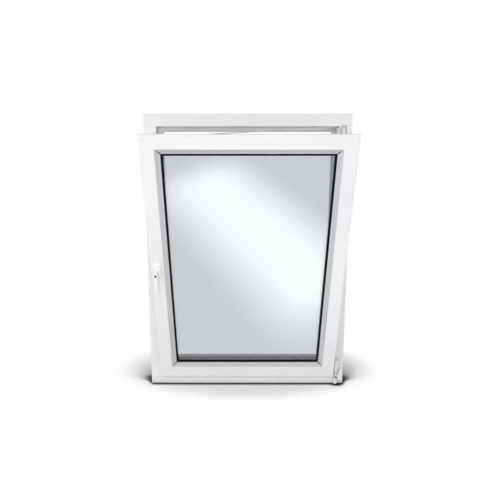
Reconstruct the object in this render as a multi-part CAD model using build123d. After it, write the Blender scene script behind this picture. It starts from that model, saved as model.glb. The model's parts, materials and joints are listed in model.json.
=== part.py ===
from build123d import *
import os
from math import acos, asin, atan, cos, degrees, pi, radians, sin, sqrt, tan

# Tilt-and-turn window with its frame, sash, lever handle, gear and hinge fittings.
# Millimetres. Seen from the room: X right, Y outdoors, Z up. The origin is the middle
# of the frame's underside. Everything is drawn closed, then the sash leans into the
# room by tilt_angle, which is the pose that is written out.

# Overall sizes
frame_width = 900.0
frame_height = 1250.0
frame_depth = 70.0
tilt_angle = 15.0
edge_round = 2.5

# Frame section: u runs inwards from the outer edge of the frame
frame_face = 55.0
stop_width = 22.0
stop_depth = 17.0
frame_wall = 3.5
frame_web = 4.0
frame_steel_width = 26.0
frame_steel_depth = 32.0
drain_length = 28.0
drain_height = 5.0
drain_level = 12.0

# Sash section
lip_inset = 50.0
lip_gap = 4.0
lip_depth = 16.0
air_gap = 12.5
sash_flat = 55.0
stop_gap = 4.0
sash_wall = 3.0
rebate_drop = 4.0
glazing_cover = 19.0
glazing_leg = 22.0

# Hardware groove in the sash edge
groove_setback = 13.0
seat_width = 20.0
seat_depth = 2.0
channel_width = 16.2
channel_depth = 17.0

# Glazing
pane_thickness = 4.0
pane_gap = 16.0
pane_edge_gap = 5.0
outer_gasket = 3.0
inner_gasket = 4.0
gasket_sight = 8.0
gasket_rise = 7.0
gasket_slope = 1.5
outer_sight = 2.0
spacer_width = 10.0
bead_nose = 5.0
bead_lip = 5.0
bead_foot = 4.0
bead_hollow = 2.0
block_length = 100.0

# Rubber seals between sash and frame
seal_width = 3.6
seal_free = 0.4
seal_taper = 0.7

# Steel and clearances
steel_wall = 1.5
slip = 0.2
running = 0.05
free_gap = 0.3
screw_hole = 2.3
cut_over = 1.0
weld_lap = 1.0

# Hinge line and tilt pivot
hinge_offset = 12.0
hinge_setback = 8.5
plate_margin = 6.0
barrel_gap = 2.0
tilt_height = 45.0
knuckle_radius = 7.0
hinge_pin_radius = 3.0
pin_head_radius = 4.5
eye_radius = 6.5
ear_gap = 6.0
fork_margin = 1.0
leaf_thickness = 2.2
leaf_to_frame = 1.5
band_length = 86.0
stay_barrel = 41.0
bearing_knuckle = 15.0
dowel_inset = 12.0
dowel_radius = 4.0
socket_radius = 4.0
socket_floor = 18.0
socket_top = 31.0
rest_low = 11.0
rest_high = 73.0
rest_slant = 7.5
rest_shoulder = 50.0
rest_hole_count = 4
rest_dowel_hole = 2
cover_wall = 1.2
cover_margin = 2.0
cover_reach = 10.0
cap_depth = 5.0

# Stay
stay_end = 167.0
stay_width = 12.0
stay_thickness = 2.5
stay_height = 8.84
stay_lift = 3.4
stay_shift = 2.1
stud_radius = 2.5
stud_length = 15.0
rivet_radius = 3.0
rivet_head_radius = 4.8
rivet_head = 1.0
guide_wall = 1.2
guide_margin = 12.0

# Gear and drive rods
backset = 10.5
handle_height = 632.0
pinion_teeth = 14
pinion_module = 1.0
pressure_angle = 20.0
spare_windows = 2
pinion_face = 7.0
backlash = 0.3
square_spindle = 7.0
screw_spacing = 43.0
rod_width = 12.0
rod_thickness = 2.0
deep_rod_level = 16.5
cam_radius = 5.5
cam_stem = 3.0
cam_reach = 8.0
cam_head = 2.5
strike_height = 3.3
strike_base = 2.0
strike_length = 26.0
strike_width = 18.0
strike_eye_offset = 17.0
strike_eye_radius = 7.0
strike_lip = 4.0
left_cam_shares = (0.28, 0.76)
bottom_cam_shares = (-0.11, 0.2)
keeper_share = -0.27
keeper_length = 86.0
corner_leg = 90.0
guide_round = 0.8
faceplate_tail = 20.0
wedge_length = 40.0
wedge_height = 5.0
runner_length = 56.0
runner_width = 16.0
runner_height = 5.0
lifter_gap = 100.0
screw_shank = 2.5
post_radius = 5.0
case_wall = 1.0

# Handle
rose_width = 32.0
rose_height = 72.0
rose_depth = 9.0
rose_corner = 0.45
neck_radius = 9.0
neck_gap = 1.0
handle_reach = 47.0
hub_radius = 10.5
hub_back = 2.0
lever_length = 88.0
lever_width = 16.0
lever_tip = 13.0
lever_depth = 11.0
lock_radius = 5.0
key_slot_length = 6.0
key_slot_width = 1.2

# Wall fixings through the jambs
fixing_end = 200.0
fixing_radius = 3.75

# Places worked out from the sizes above
room = -frame_depth / 2
outdoors = frame_depth / 2
stop_face = outdoors - stop_depth
stop_edge = frame_face + stop_width
lip_rear = room - lip_gap
lip_front = lip_rear - lip_depth
rebate = frame_face + air_gap
sash_back = stop_face - stop_gap
bead_start = lip_inset + sash_flat
sight_edge = bead_start + glazing_cover
leg_front = sash_back - glazing_leg
groove = lip_rear + groove_setback
channel_floor = rebate + seat_depth + channel_depth
glass_back = leg_front - outer_gasket
glass_front = glass_back - 2 * pane_thickness - pane_gap
bead_back = glass_front - inner_gasket
pane_edge = bead_start + pane_edge_gap
sash_x = frame_width / 2 - rebate
sash_top = frame_height - rebate
stay_length = 2 * sash_x + seat_depth - stay_end
hinge_x = frame_width / 2 - lip_inset + hinge_offset
hinge_y = room - hinge_setback
tilt_axis = Axis((0, hinge_y, tilt_height), (1, 0, 0))
leaf_back = room - leaf_to_frame
leaf_front = leaf_back - leaf_thickness
rod_outer = rebate + seat_depth + free_gap
pinion_radius = pinion_teeth * pinion_module / 2
pinion_tip = pinion_radius + pinion_module
tooth_pitch = pi * pinion_module
rod_travel = pi * pinion_radius
handle_u = rebate + backset
handle_x = handle_u - frame_width / 2
case_depth = channel_width - 4 * running - 6 * free_gap
screw_head_back = lip_front - rose_depth / 2
spindle_front = lip_front - handle_reach + 2 * lever_depth
corner_band_low = tilt_height + knuckle_radius + barrel_gap
corner_band_range = (corner_band_low, corner_band_low + band_length)
stay_band_high = sash_top + lip_gap
stay_band_range = (stay_band_high - stay_barrel, stay_band_high)
bearing_range = (stay_band_range[0] - bearing_knuckle, stay_band_high + bearing_knuckle)
lower_knuckle = (bearing_range[0], stay_band_range[0] - free_gap)
upper_knuckle = (stay_band_high + free_gap, bearing_range[1])
bearing_dowel_heights = (bearing_range[0] + dowel_inset, bearing_range[1] - dowel_inset)
plate_x = (hinge_x + hinge_offset, frame_width / 2 - plate_margin)
plate_middle = sum(plate_x) / 2
rest_pitch = (rest_high - rest_low) / rest_hole_count
rest_heights = [rest_low + (n + 0.5) * rest_pitch for n in range(rest_hole_count)]
rest_dowel_height = rest_heights[rest_dowel_hole]
dowel_end = room + 2 * frame_wall + 2 * dowel_radius
cover_front = room - cover_reach
sides = ("sill", "head", "left", "right")


# Shape helpers


def block(x, y, z):
    """Box between a low and a high value on each axis."""
    middle = Pos(sum(x) / 2, sum(y) / 2, sum(z) / 2)
    return middle * Box(x[1] - x[0], y[1] - y[0], z[1] - z[0])


def round_bar(axis, at, radius, low, high):
    """Cylinder from low to high along one axis, through the other two coordinates."""
    bar_shape = Cylinder(radius, high - low, align=(Align.CENTER, Align.CENTER, Align.MIN))
    if axis == "X":
        return Pos(low, at[0], at[1]) * Rot(0, 90, 0) * bar_shape
    if axis == "Y":
        return Pos(at[0], low, at[1]) * Rot(-90, 0, 0) * bar_shape
    return Pos(at[0], at[1], low) * bar_shape


def side_length(side):
    """Length of the frame along one of its sides."""
    return frame_height if side in ("left", "right") else frame_width


def place(shape, side):
    """Carry a shape drawn on the sill, with its u axis up, to one of the sides."""
    if side == "head":
        return Pos(0, 0, frame_height) * Rot(0, 180, 0) * shape
    if side == "left":
        return Pos(-frame_width / 2, 0, frame_height / 2) * Rot(0, 90, 0) * shape
    if side == "right":
        return Pos(frame_width / 2, 0, frame_height / 2) * Rot(0, -90, 0) * shape
    return shape


def spot(side, value):
    """Place along the sill drawing of a point given by its X or Z on a side."""
    if side == "head":
        return -value
    if side == "left":
        return frame_height / 2 - value
    if side == "right":
        return value - frame_height / 2
    return value


def span(side, low, high):
    """Stretch along the sill drawing between two places on a side."""
    return tuple(sorted((spot(side, low), spot(side, high))))


def outline(section, soft=()):
    """Face of a (u, y) section, with the corners numbered in soft rounded."""
    corners = [(y, u) for u, y in section]
    face = make_face(Polyline(*corners, close=True))
    if not soft:
        return face
    chosen = [Vector(*corners[i]) for i in soft]
    rounded = [v for v in face.vertices() if min((Vector(*v) - c).length for c in chosen) < 0.01]
    return fillet(rounded, edge_round)


def bar(section, length, soft=(), hollows=()):
    """Straight length of a section along X, with its hollow chambers."""
    start = Plane.YZ.offset(-length / 2)
    solid = extrude(start * outline(section, soft), amount=length, dir=(1, 0, 0))
    for hollow in hollows:
        solid -= extrude(start * outline(hollow), amount=length, dir=(1, 0, 0))
    return solid


def prism(corners, width):
    """Solid of an (x, u) outline, centred across Y."""
    return extrude(Plane.XZ * make_face(Polyline(*corners, close=True)), amount=width / 2, both=True)


def mitred(solid, length):
    """Cut both ends of a bar at 45 degrees."""
    for end in (-1, 1):
        cut = Plane(origin=(end * length / 2, 0, 0), z_dir=(-end, 0, -1))
        solid = split(solid, bisect_by=cut, keep=Keep.TOP)
    return solid


def member(side, section, soft=(), hollows=()):
    """Mitred length of a section on one side of the window."""
    length = side_length(side)
    return place(mitred(bar(section, length, soft, hollows), length), side)


def box_section(u, y):
    """Rectangle in u and y as a section."""
    return [(u[0], y[0]), (u[1], y[0]), (u[1], y[1]), (u[0], y[1])]


def group(*solids):
    """Several separate solids as one node."""
    return Compound([s.solid() for s in solids])


# Frame


def frame_steel_room():
    """Chamber of the frame that holds its steel, as ranges of u and y."""
    u = (frame_face - frame_wall - frame_web - frame_steel_width, frame_face - frame_wall - frame_web)
    return u, (-frame_steel_depth / 2, frame_steel_depth / 2)


def frame_member(side):
    """One mitred length of the frame, with four chambers."""
    section = [
        (0, room),
        (frame_face, room),
        (frame_face, stop_face),
        (stop_edge, stop_face),
        (stop_edge, outdoors),
        (0, outdoors),
    ]
    steel_u, steel_y = frame_steel_room()
    inner = (frame_wall, frame_face - frame_wall)
    front = box_section(inner, (room + frame_wall, steel_y[0] - frame_wall))
    back_y = (stop_face + frame_wall, outdoors - frame_wall)
    back = box_section((frame_wall, stop_edge - frame_wall), back_y)
    steel = box_section(steel_u, steel_y)
    outer = box_section((frame_wall, steel_u[0] - frame_wall), steel_y)
    return member(side, section, (0, 1, 3, 4, 5), (front, steel, outer, back))


def wall_fixings(side):
    """Drillings for the screws that hold a jamb to the wall."""
    length = side_length(side)
    reach = length / 2 - fixing_end
    depth = (-cut_over, frame_face + cut_over)
    drills = [round_bar("Z", (x, 0), fixing_radius, *depth) for x in (-reach, reach)]
    return place(drills[0] + drills[1], side)


def drain_slots():
    """Drainage slots through the outdoor face of the sill."""
    cut = Plane.XZ.offset(-outdoors - cut_over) * SlotOverall(drain_length, drain_height)
    hole = extrude(cut, amount=frame_wall + 2 * cut_over, dir=(0, -1, 0))
    slot_place = frame_width / 4
    return Pos(-slot_place, 0, drain_level) * hole + Pos(slot_place, 0, drain_level) * hole


def steel_tube(side, u, y, end_gap):
    """Square-cut steel box section that stiffens a plastic chamber."""
    outer = box_section((u[0] + slip, u[1] - slip), (y[0] + slip, y[1] - slip))
    wall = slip + steel_wall
    inner = box_section((u[0] + wall, u[1] - wall), (y[0] + wall, y[1] - wall))
    return place(bar(outer, side_length(side) - 2 * end_gap, (), (inner,)), side)


def frame_reinforcement():
    """Steel inside the four frame members, drilled with the wall fixings."""
    u, y = frame_steel_room()
    tubes = []
    for side in sides:
        tube = steel_tube(side, u, y, u[1] + free_gap)
        if side in ("left", "right"):
            tube -= wall_fixings(side)
        tubes.append(tube)
    return group(*tubes)


def frame_gasket():
    """Rubber seal on the outdoor stop, facing the sash."""
    middle = (rebate + rebate_drop + stop_edge) / 2
    half = seal_width / 2
    nose = sash_back + seal_free
    section = [
        (middle - half, stop_face),
        (middle + half, stop_face),
        (middle + half * seal_taper, nose),
        (middle - half * seal_taper, nose),
    ]
    return group(*[member(side, section) for side in sides])


# Sash


def sash_section():
    """Corners of the sash section, closed, from its overlap lip round the glass pocket."""
    groove_end = groove + seat_width / 2 + seat_depth
    return [
        (lip_inset, lip_front),
        (bead_start, lip_front),
        (bead_start, leg_front),
        (sight_edge, leg_front),
        (sight_edge, sash_back),
        (rebate + rebate_drop, sash_back),
        (rebate + rebate_drop, groove_end + rebate_drop),
        (rebate, groove_end),
        (rebate, lip_rear),
        (lip_inset, lip_rear),
    ]


def sash_steel_room():
    """Chamber of the sash that holds its steel, as ranges of u and y."""
    u = (rebate + rebate_drop + sash_wall, bead_start - sash_wall)
    y = (groove + channel_width / 2 + sash_wall + seat_depth, sash_back - sash_wall)
    return u, y


def across(width):
    """Range of y for a width centred on the hardware groove."""
    return groove - width / 2, groove + width / 2


def sash_member(side):
    """One mitred length of the sash with its chambers and hardware groove."""
    seat = box_section((rebate - cut_over, rebate + seat_depth), across(seat_width))
    channel = box_section((rebate - cut_over, channel_floor), across(channel_width))
    front = box_section(
        (lip_inset + sash_wall, bead_start - sash_wall),
        (lip_front + sash_wall, lip_rear - sash_wall),
    )
    steel = box_section(*sash_steel_room())
    leg = box_section(
        (bead_start + sash_wall / 2, sight_edge - sash_wall),
        (leg_front + sash_wall, sash_back - sash_wall),
    )
    return member(side, sash_section(), (0, 1, 4), (front, steel, leg, seat, channel))


def gear_pocket():
    """Routed pocket and drillings for the gear and the handle in the left stile."""
    at = spot("left", handle_height)
    depth = handle_u + pinion_tip + 4 * free_gap + sash_wall
    pocket = block((at - depth + handle_u, at + depth - handle_u), across(channel_width), (rebate, depth))
    drills = round_bar("Y", (at, handle_u), square_spindle, lip_front - cut_over, groove)
    for end in (-1, 1):
        post = (at + end * screw_spacing / 2, handle_u)
        drills += round_bar("Y", post, post_radius + free_gap, lip_front - cut_over, groove)
    return place(pocket + drills, "left")


def sash_reinforcement():
    """Steel inside the four sash members."""
    u, y = sash_steel_room()
    return group(*[steel_tube(side, u, y, u[1] + free_gap) for side in sides])


def sash_gasket():
    """Rubber seal behind the sash's lip, cut back at the hinges."""
    middle = (lip_inset + frame_face) / 2
    half = seal_width / 2
    nose = room - seal_free
    section = [
        (middle - half, lip_rear),
        (middle + half, lip_rear),
        (middle + half * seal_taper, nose),
        (middle - half * seal_taper, nose),
    ]
    strips = []
    for side in sides:
        strip = member(side, section)
        if side == "right":
            low, high = corner_band_range[1] + lip_gap, stay_band_range[0] - lip_gap
            strip = strip & block((0, frame_width), (-frame_depth, frame_depth), (low, high))
        strips.append(strip)
    return group(*strips)


def glazing_bead(side):
    """Glazing bead: a steep face from the sash's edge down to a flat nose beside the gasket."""
    nose_front = bead_back - bead_nose
    hollow = bead_back - bead_hollow
    section = [
        (bead_start, lip_front + edge_round),
        (sight_edge - bead_lip, nose_front),
        (sight_edge, nose_front),
        (sight_edge, bead_back),
        (sight_edge - 2 * bead_foot, bead_back),
        (sight_edge - 2 * bead_foot, hollow),
        (bead_start + bead_foot, hollow),
        (bead_start + bead_foot, bead_back),
        (bead_start, bead_back),
    ]
    return member(side, section, (2,))


def inner_glazing_gasket():
    """Black wedge seal between the beads and the inner pane."""
    front = glass_front - gasket_rise
    section = [
        (sight_edge - 2 * bead_foot, bead_back),
        (sight_edge, bead_back),
        (sight_edge, front),
        (sight_edge + gasket_sight, front + gasket_slope),
        (sight_edge + gasket_sight, glass_front),
        (sight_edge - 2 * bead_foot, glass_front),
    ]
    return group(*[member(side, section) for side in sides])


def outer_glazing_gasket():
    """Black seal between the outer pane and the sash's outdoor leg."""
    section = [
        (sight_edge - 2 * bead_foot, glass_back),
        (sight_edge + outer_sight, glass_back),
        (sight_edge + outer_sight, leg_front + outer_gasket / 2),
        (sight_edge, leg_front + outer_gasket / 2),
        (sight_edge, leg_front),
        (sight_edge - 2 * bead_foot, leg_front),
    ]
    return group(*[member(side, section) for side in sides])


def pane(front):
    """One sheet of glass."""
    half = frame_width / 2 - pane_edge
    return block((-half, half), (front, front + pane_thickness), (pane_edge, frame_height - pane_edge))


def glass_spacer():
    """Spacer bars that hold the two panes apart."""
    section = box_section(
        (pane_edge + spacer_width / 2, pane_edge + 1.5 * spacer_width),
        (glass_front + pane_thickness, glass_back - pane_thickness),
    )
    return group(*[member(side, section) for side in sides])


def setting_blocks():
    """Plastic blocks that centre the glass in the sash."""
    blocks = []
    for side in sides:
        for end in (-1, 1):
            x = end * side_length(side) / 4
            ends = (x - block_length / 2, x + block_length / 2)
            blocks.append(place(block(ends, (glass_front, glass_back), (bead_start, pane_edge)), side))
    return group(*blocks)


# Drive: gear, rods, cams, strikes


def tooth_half_angle(radius):
    """Half the angle that a pinion tooth covers at a radius, on an involute flank."""
    base = pinion_radius * cos(radians(pressure_angle))
    flank = acos(base / max(radius, base))
    middle = pi / (2 * pinion_teeth) - backlash / (4 * pinion_radius)
    start = tan(radians(pressure_angle)) - radians(pressure_angle)
    return middle + start - (tan(flank) - flank)


def drive_pinion():
    """Pinion with involute teeth, hubs at both ends and a square hole."""
    base = pinion_radius * cos(radians(pressure_angle))
    root = pinion_radius - pinion_module
    radii = (root, base, pinion_radius, (pinion_radius + pinion_tip) / 2, pinion_tip)
    points = []
    for tooth in range(pinion_teeth):
        middle = -pi / 2 + tooth * 2 * pi / pinion_teeth
        flank = [(r, tooth_half_angle(r)) for r in radii]
        points += [(r * cos(middle - half), r * sin(middle - half)) for r, half in flank]
        points += [(r * cos(middle + half), r * sin(middle + half)) for r, half in flank[::-1]]
    wheel = prism(points, pinion_face)
    length = case_depth / 2 - free_gap
    wheel += round_bar("Y", (0, 0), root, -length, length)
    hole = square_spindle + 2 * running
    wheel -= Box(hole, 2 * (length + cut_over), hole)
    at = spot("left", handle_height)
    return place(Pos(at, groove, handle_u) * wheel, "left")


def gear_case():
    """Die-cast gear case: hub ring, slim body behind the rod and two screw posts."""
    at = spot("left", handle_height)
    half = case_depth / 2
    inner_face = rod_outer + rod_thickness + free_gap
    hub_wall = pinion_tip + 2 * free_gap + sash_wall
    body_half = screw_spacing / 2 + 2 * post_radius
    body_back = handle_u + post_radius + case_wall
    case = block((at - body_half, at + body_half), (groove - half, groove + half), (inner_face, body_back))
    case += round_bar("Y", (at, handle_u), hub_wall, groove - half, groove + half)
    case -= block((at - hub_wall, at + hub_wall), (groove - half, groove + half), (0, inner_face))
    inside = across(pinion_face + 2 * free_gap)
    mouth = pinion_tip + 2 * free_gap
    case -= round_bar("Y", (at, handle_u), mouth, *inside)
    case -= block((at - mouth, at + mouth), inside, (rebate, handle_u))
    hub = pinion_radius - pinion_module + running
    case -= round_bar("Y", (at, handle_u), hub, groove - half - cut_over, groove + half + cut_over)
    for end in (-1, 1):
        post = (at + end * screw_spacing / 2, handle_u)
        case += round_bar("Y", post, post_radius, lip_rear, groove + half)
        case -= round_bar("Y", post, screw_shank + running, lip_rear - cut_over, groove + half + cut_over)
    return place(case, "left")


def rod_windows(at):
    """Punched windows of the rack, which the pinion's teeth run through."""
    pitch_line = handle_u - pinion_radius
    slope = tan(radians(pressure_angle))
    low, high = rod_outer - cut_over - pitch_line, rod_outer + rod_thickness + cut_over - pitch_line
    half = tooth_pitch / 4 + backlash / 4
    narrow, wide = half + slope * low, half + slope * high
    window = prism([(-narrow, low), (narrow, low), (wide, high), (-wide, high)], pinion_face + 2 * free_gap)
    places = range(-spare_windows, pinion_teeth // 2 + spare_windows + 1)
    return [Pos(at - n * tooth_pitch, groove, pitch_line) * window for n in places]


def drive_rod(side, low, high, level):
    """Flat steel rod that slides in the groove."""
    return block(span(side, low, high), across(rod_width), (level, level + rod_thickness))


def left_rod():
    """Rod behind the handle, with the punched rack."""
    rod = drive_rod("left", left_low, left_high, rod_outer)
    for window in rod_windows(spot("left", handle_height)):
        rod -= window
    return place(rod, "left")


def locking_cam(side, at, level):
    """Mushroom cam on a rod, reaching into the gap between sash and frame."""
    centre = (spot(side, at), groove)
    head = rebate - cam_reach
    stem = round_bar("Z", centre, cam_stem, head, level)
    return place(stem + round_bar("Z", centre, cam_radius, head, head + cam_head), side)


def cam_slot(side, low, high):
    """Slot with round ends for a cam's stem, through the plate over the groove."""
    x = span(side, low, high)
    depth = (rebate - cut_over, rebate + seat_depth + cut_over)
    radius = cam_stem + free_gap
    slot = block(x, across(2 * radius), depth)
    for end in x:
        slot += round_bar("Z", (end, groove), radius, *depth)
    return slot


def cover_strip(side, low, high):
    """Plain strip in the groove's seat."""
    return block(span(side, low, high), across(seat_width - 2 * slip), (rebate, rebate + seat_depth))


def faceplate(side, low, high, cams):
    """Cover strip of the groove with slots that the cams run along."""
    strip = cover_strip(side, low, high)
    for _, start, end in cams:
        strip -= cam_slot(side, start, end)
    return place(strip, side)


def strike_plate(side, at):
    """Strike plate on the frame: a body with a raised lip between two screw eyelets."""
    x = spot(side, at)
    top = frame_face + strike_base
    ends = (x - strike_length / 2, x + strike_length / 2)
    plate = block(ends, across(strike_width), (frame_face, top))
    for end in (-1, 1):
        plate += round_bar("Z", (x + end * strike_eye_offset, groove), strike_eye_radius, frame_face, top)
    edge = groove - strike_width / 2
    plate += block(ends, (edge, edge + strike_lip), (top, frame_face + strike_height))
    return place(plate, side)


def tilt_keeper():
    """Longer keeper on the sill that guides the sash's foot while it is tilted."""
    x, half, top = keeper_place, strike_width / 2, frame_face + strike_base
    ends = (x - keeper_length / 2, x + keeper_length / 2)
    plate = block(ends, (groove - half, groove + half), (frame_face, top))
    plate = fillet(plate.edges().filter_by(Axis.Z), edge_round)
    for edge in (-1, 1):
        rail = sorted((groove + edge * half, groove + edge * (half - strike_lip)))
        rail_ends = (ends[0] + strike_width, ends[1] - strike_width)
        plate += block(rail_ends, rail, (top, frame_face + strike_height))
    for end in ends:
        hole = (end + (x - end) * strike_width / keeper_length, groove)
        plate -= round_bar("Z", hole, screw_hole, frame_face - cut_over, top + cut_over)
    return plate


def run_up_block():
    """Black wedge on the left jamb that lifts the closing sash."""
    x = spot("left", lifter_place)
    half = wedge_length / 2
    ramp = [(-half / 4, wedge_height), (-half, wedge_height / 3)]
    corners = [(-half, 0), (half, 0), (half, wedge_height), *ramp]
    return place(Pos(x, groove, frame_face) * prism(corners, strike_width), "left")


def sash_lifter():
    """Runner on the sash, opposite the wedge."""
    x = spot("left", lifter_place)
    runner = extrude(Plane.XY * SlotOverall(runner_length, runner_width), amount=runner_height)
    runner = chamfer(runner.faces().sort_by(Axis.Z)[0].edges(), runner_height / 4)
    return place(Pos(x, groove, rebate - runner_height) * runner, "left")


def corner_drive(x_side, z_side):
    """Corner drive: an angle in the groove's seat with a rounded guide for its spring band."""
    half = seat_width / 2 - slip
    y = (groove - half, groove + half)
    upright = block((-sash_x, -sash_x + seat_depth), y, (sash_top - corner_leg, sash_top))
    level = block((-sash_x, -sash_x + corner_leg), y, (sash_top - seat_depth, sash_top))
    reach = channel_depth - sash_wall
    inner = channel_width / 2 - 2 * free_gap
    guide = block((0, reach), (-inner, inner), (-reach, 0))
    inner_edge = guide.edges().filter_by(Axis.Y).sort_by(Axis.X)[-2:].sort_by(Axis.Z)[:1]
    guide = fillet(inner_edge, reach * guide_round)
    angle = upright + level + Pos(-sash_x + seat_depth, groove, sash_top - seat_depth) * guide
    if x_side == "right":
        angle = mirror(angle, Plane.YZ)
    if z_side == "bottom":
        angle = mirror(angle, Plane.XY.offset(frame_height / 2))
    return angle


# Handle


def handle_rose():
    """Oval base of the handle, screwed through to the gear."""
    corner = rose_width * rose_corner
    plate = extrude(Plane.XZ * RectangleRounded(rose_width, rose_height, corner), amount=rose_depth)
    plate = chamfer(plate.faces().sort_by(Axis.Y)[0].edges(), rose_depth / 4)
    plate = Pos(handle_x, lip_front, handle_height) * plate
    front = lip_front - rose_depth - cut_over
    plate -= round_bar("Y", (handle_x, handle_height), neck_radius + free_gap, front, lip_front + cut_over)
    for end in (-1, 1):
        hole = (handle_x, handle_height + end * screw_spacing / 2)
        plate -= round_bar("Y", hole, screw_shank + running, front, lip_front + cut_over)
        plate -= round_bar("Y", hole, 2 * screw_shank, front, screw_head_back)
    return plate


def handle_screws():
    """Two screws from the rose into the gear case's posts."""
    screws = []
    for end in (-1, 1):
        at = (handle_x, handle_height + end * screw_spacing / 2)
        head = 2 * screw_shank - slip
        screw = round_bar("Y", at, screw_shank, screw_head_back, groove)
        screw += round_bar("Y", at, head, screw_head_back - screw_shank, screw_head_back)
        screws.append(screw)
    return group(*screws)


def rose_caps():
    """Two plastic caps in the rose that hide the screws."""
    front, back = lip_front - rose_depth, screw_head_back - screw_shank - slip
    heights = [handle_height + end * screw_spacing / 2 for end in (-1, 1)]
    return group(*[round_bar("Y", (handle_x, z), 2 * screw_shank - running, front, back) for z in heights])


def handle_lever():
    """Lever: a round neck, a hub with a chamfered front and a tapered grip that points down."""
    front = lip_front - handle_reach
    neck = round_bar("Y", (0, 0), neck_radius, front + lever_depth / 2, lip_front - neck_gap)
    hub = round_bar("Y", (0, 0), hub_radius, front, front + lever_depth + hub_back)
    hub = chamfer(hub.faces().sort_by(Axis.Y)[0].edges(), edge_round / 2)
    tip = lever_tip / 2
    straight = lever_length - tip
    left = Line((-lever_width / 2, 0), (-tip, -straight))
    right = Line((tip, -straight), (lever_width / 2, 0))
    end = ThreePointArc((-tip, -straight), (0, -lever_length), (tip, -straight))
    close = Line((lever_width / 2, 0), (-lever_width / 2, 0))
    grip = extrude(Plane.XZ * make_face(left + end + right + close), amount=lever_depth, dir=(0, 1, 0))
    grip = fillet(grip.edges().filter_by(GeomType.LINE).filter_by(long_edge), edge_round)
    lever = Pos(0, front, 0) * grip + hub + neck
    lever -= round_bar("Y", (0, 0), lock_radius + running, front - cut_over, front + lever_depth)
    hole = square_spindle + 2 * running
    lever -= block((-hole / 2, hole / 2), (spindle_front, lip_front), (-hole / 2, hole / 2))
    return Pos(handle_x, 0, handle_height) * lever


def long_edge(edge):
    """True for the edges that run along the grip."""
    return edge.length > lever_length / 2


def handle_spindle():
    """Square spindle from the lever's neck through the pinion."""
    half = square_spindle / 2
    x, z = (handle_x - half, handle_x + half), (handle_height - half, handle_height + half)
    return block(x, (spindle_front, groove + case_depth / 2), z)


def lock_barrel():
    """Key barrel in the front of the hub, with its key slot."""
    front = lip_front - handle_reach
    barrel = round_bar("Y", (0, 0), lock_radius, front + slip, front + lever_depth - slip)
    half_width, half_length = key_slot_width / 2, key_slot_length / 2
    depth = (front - cut_over, front + lever_depth / 2)
    barrel -= block((-half_width, half_width), depth, (-half_length, half_length))
    return Pos(handle_x, 0, handle_height) * barrel


# Hinges


def knuckle(low, high, bore):
    """Round hinge knuckle on the turn axis, bored for a pin."""
    at = (hinge_x, hinge_y)
    ring = round_bar("Z", at, knuckle_radius, low, high)
    return ring - round_bar("Z", at, bore, low - cut_over, high + cut_over) if bore else ring


def corner_band():
    """Sash half of the bottom hinge: barrel, folded leaves and the tongue on the tilt pin."""
    low, high = corner_band_range
    foot = low + leaf_thickness + lip_gap
    band = knuckle(low, high, 0)
    band += block((sash_x, hinge_x), (leaf_front, leaf_back), (foot, high - lip_gap))
    wing = groove + seat_width / 2
    band += block((sash_x, sash_x + leaf_thickness), (leaf_front, wing), (rebate, high - lip_gap))
    sole = (sash_x - corner_leg / 2, sash_x + leaf_thickness)
    band += block(sole, (leaf_front, wing), (rebate - leaf_thickness, rebate))
    half = (ear_gap - free_gap) / 2
    tongue = (hinge_x - half, hinge_x + half)
    band += block(tongue, (hinge_y - eye_radius, hinge_y + eye_radius), (tilt_height, low))
    band += round_bar("X", (hinge_y, tilt_height), eye_radius, *tongue)
    bore = (tongue[0] - cut_over, tongue[1] + cut_over)
    band -= round_bar("X", (hinge_y, tilt_height), hinge_pin_radius + running, *bore)
    drill = (sash_x - cut_over, sash_x + leaf_thickness + cut_over)
    for z in (foot + corner_leg / 4, foot + corner_leg / 2):
        band -= round_bar("X", (groove, z), screw_hole, *drill)
    return band


def tilt_pin():
    """Cross pin of the bottom hinge, on which the sash tilts."""
    ends = (hinge_x - knuckle_radius, hinge_x + knuckle_radius)
    return round_bar("X", (hinge_y, tilt_height), hinge_pin_radius, *ends)


def swivel_fork():
    """Swivel of the bottom hinge: an upright pin below a fork for the tilt pin."""
    at = (hinge_x, hinge_y)
    collar = socket_top + free_gap
    fork = round_bar("Z", at, socket_radius, socket_floor + free_gap, collar)
    fork += round_bar("Z", at, knuckle_radius, collar, collar + leaf_thickness)
    half = ear_gap / 2
    for low, high in ((-knuckle_radius, -half), (half, knuckle_radius)):
        x = (hinge_x + low, hinge_x + high)
        ear = block(x, (hinge_y - eye_radius, hinge_y + eye_radius), (collar, tilt_height))
        ear += round_bar("X", (hinge_y, tilt_height), eye_radius, *x)
        fork += ear & round_bar("Z", at, knuckle_radius + fork_margin, collar, tilt_height + knuckle_radius)
    bore = (hinge_x - knuckle_radius - cut_over, hinge_x + knuckle_radius + cut_over)
    return fork - round_bar("X", (hinge_y, tilt_height), hinge_pin_radius + running, *bore)


def upright(corners, back, front):
    """Plate of an (x, z) outline against the frame's room face."""
    face = Plane.XZ.offset(-back) * make_face(Polyline(*corners, close=True))
    return extrude(face, amount=back - front, dir=(0, -1, 0))


def rest_outline(grow, low):
    """Outline of the pivot rest's plate, slanted to clear the leaning barrel."""
    left, right, top = plate_x[0] - grow, plate_x[1] + grow, rest_high + grow
    return [(left, low), (right, low), (right, top), (left + rest_slant, top), (left, rest_shoulder)]


def pivot_rest_packer():
    """Packer strip with screw holes behind the pivot rest."""
    strip = upright(rest_outline(0, rest_low), room, room - leaf_to_frame)
    for z in rest_heights:
        radius = dowel_radius + slip if z == rest_dowel_height else screw_hole
        strip -= round_bar("Y", (plate_middle, z), radius, room - leaf_to_frame - cut_over, room + cut_over)
    return strip


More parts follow.
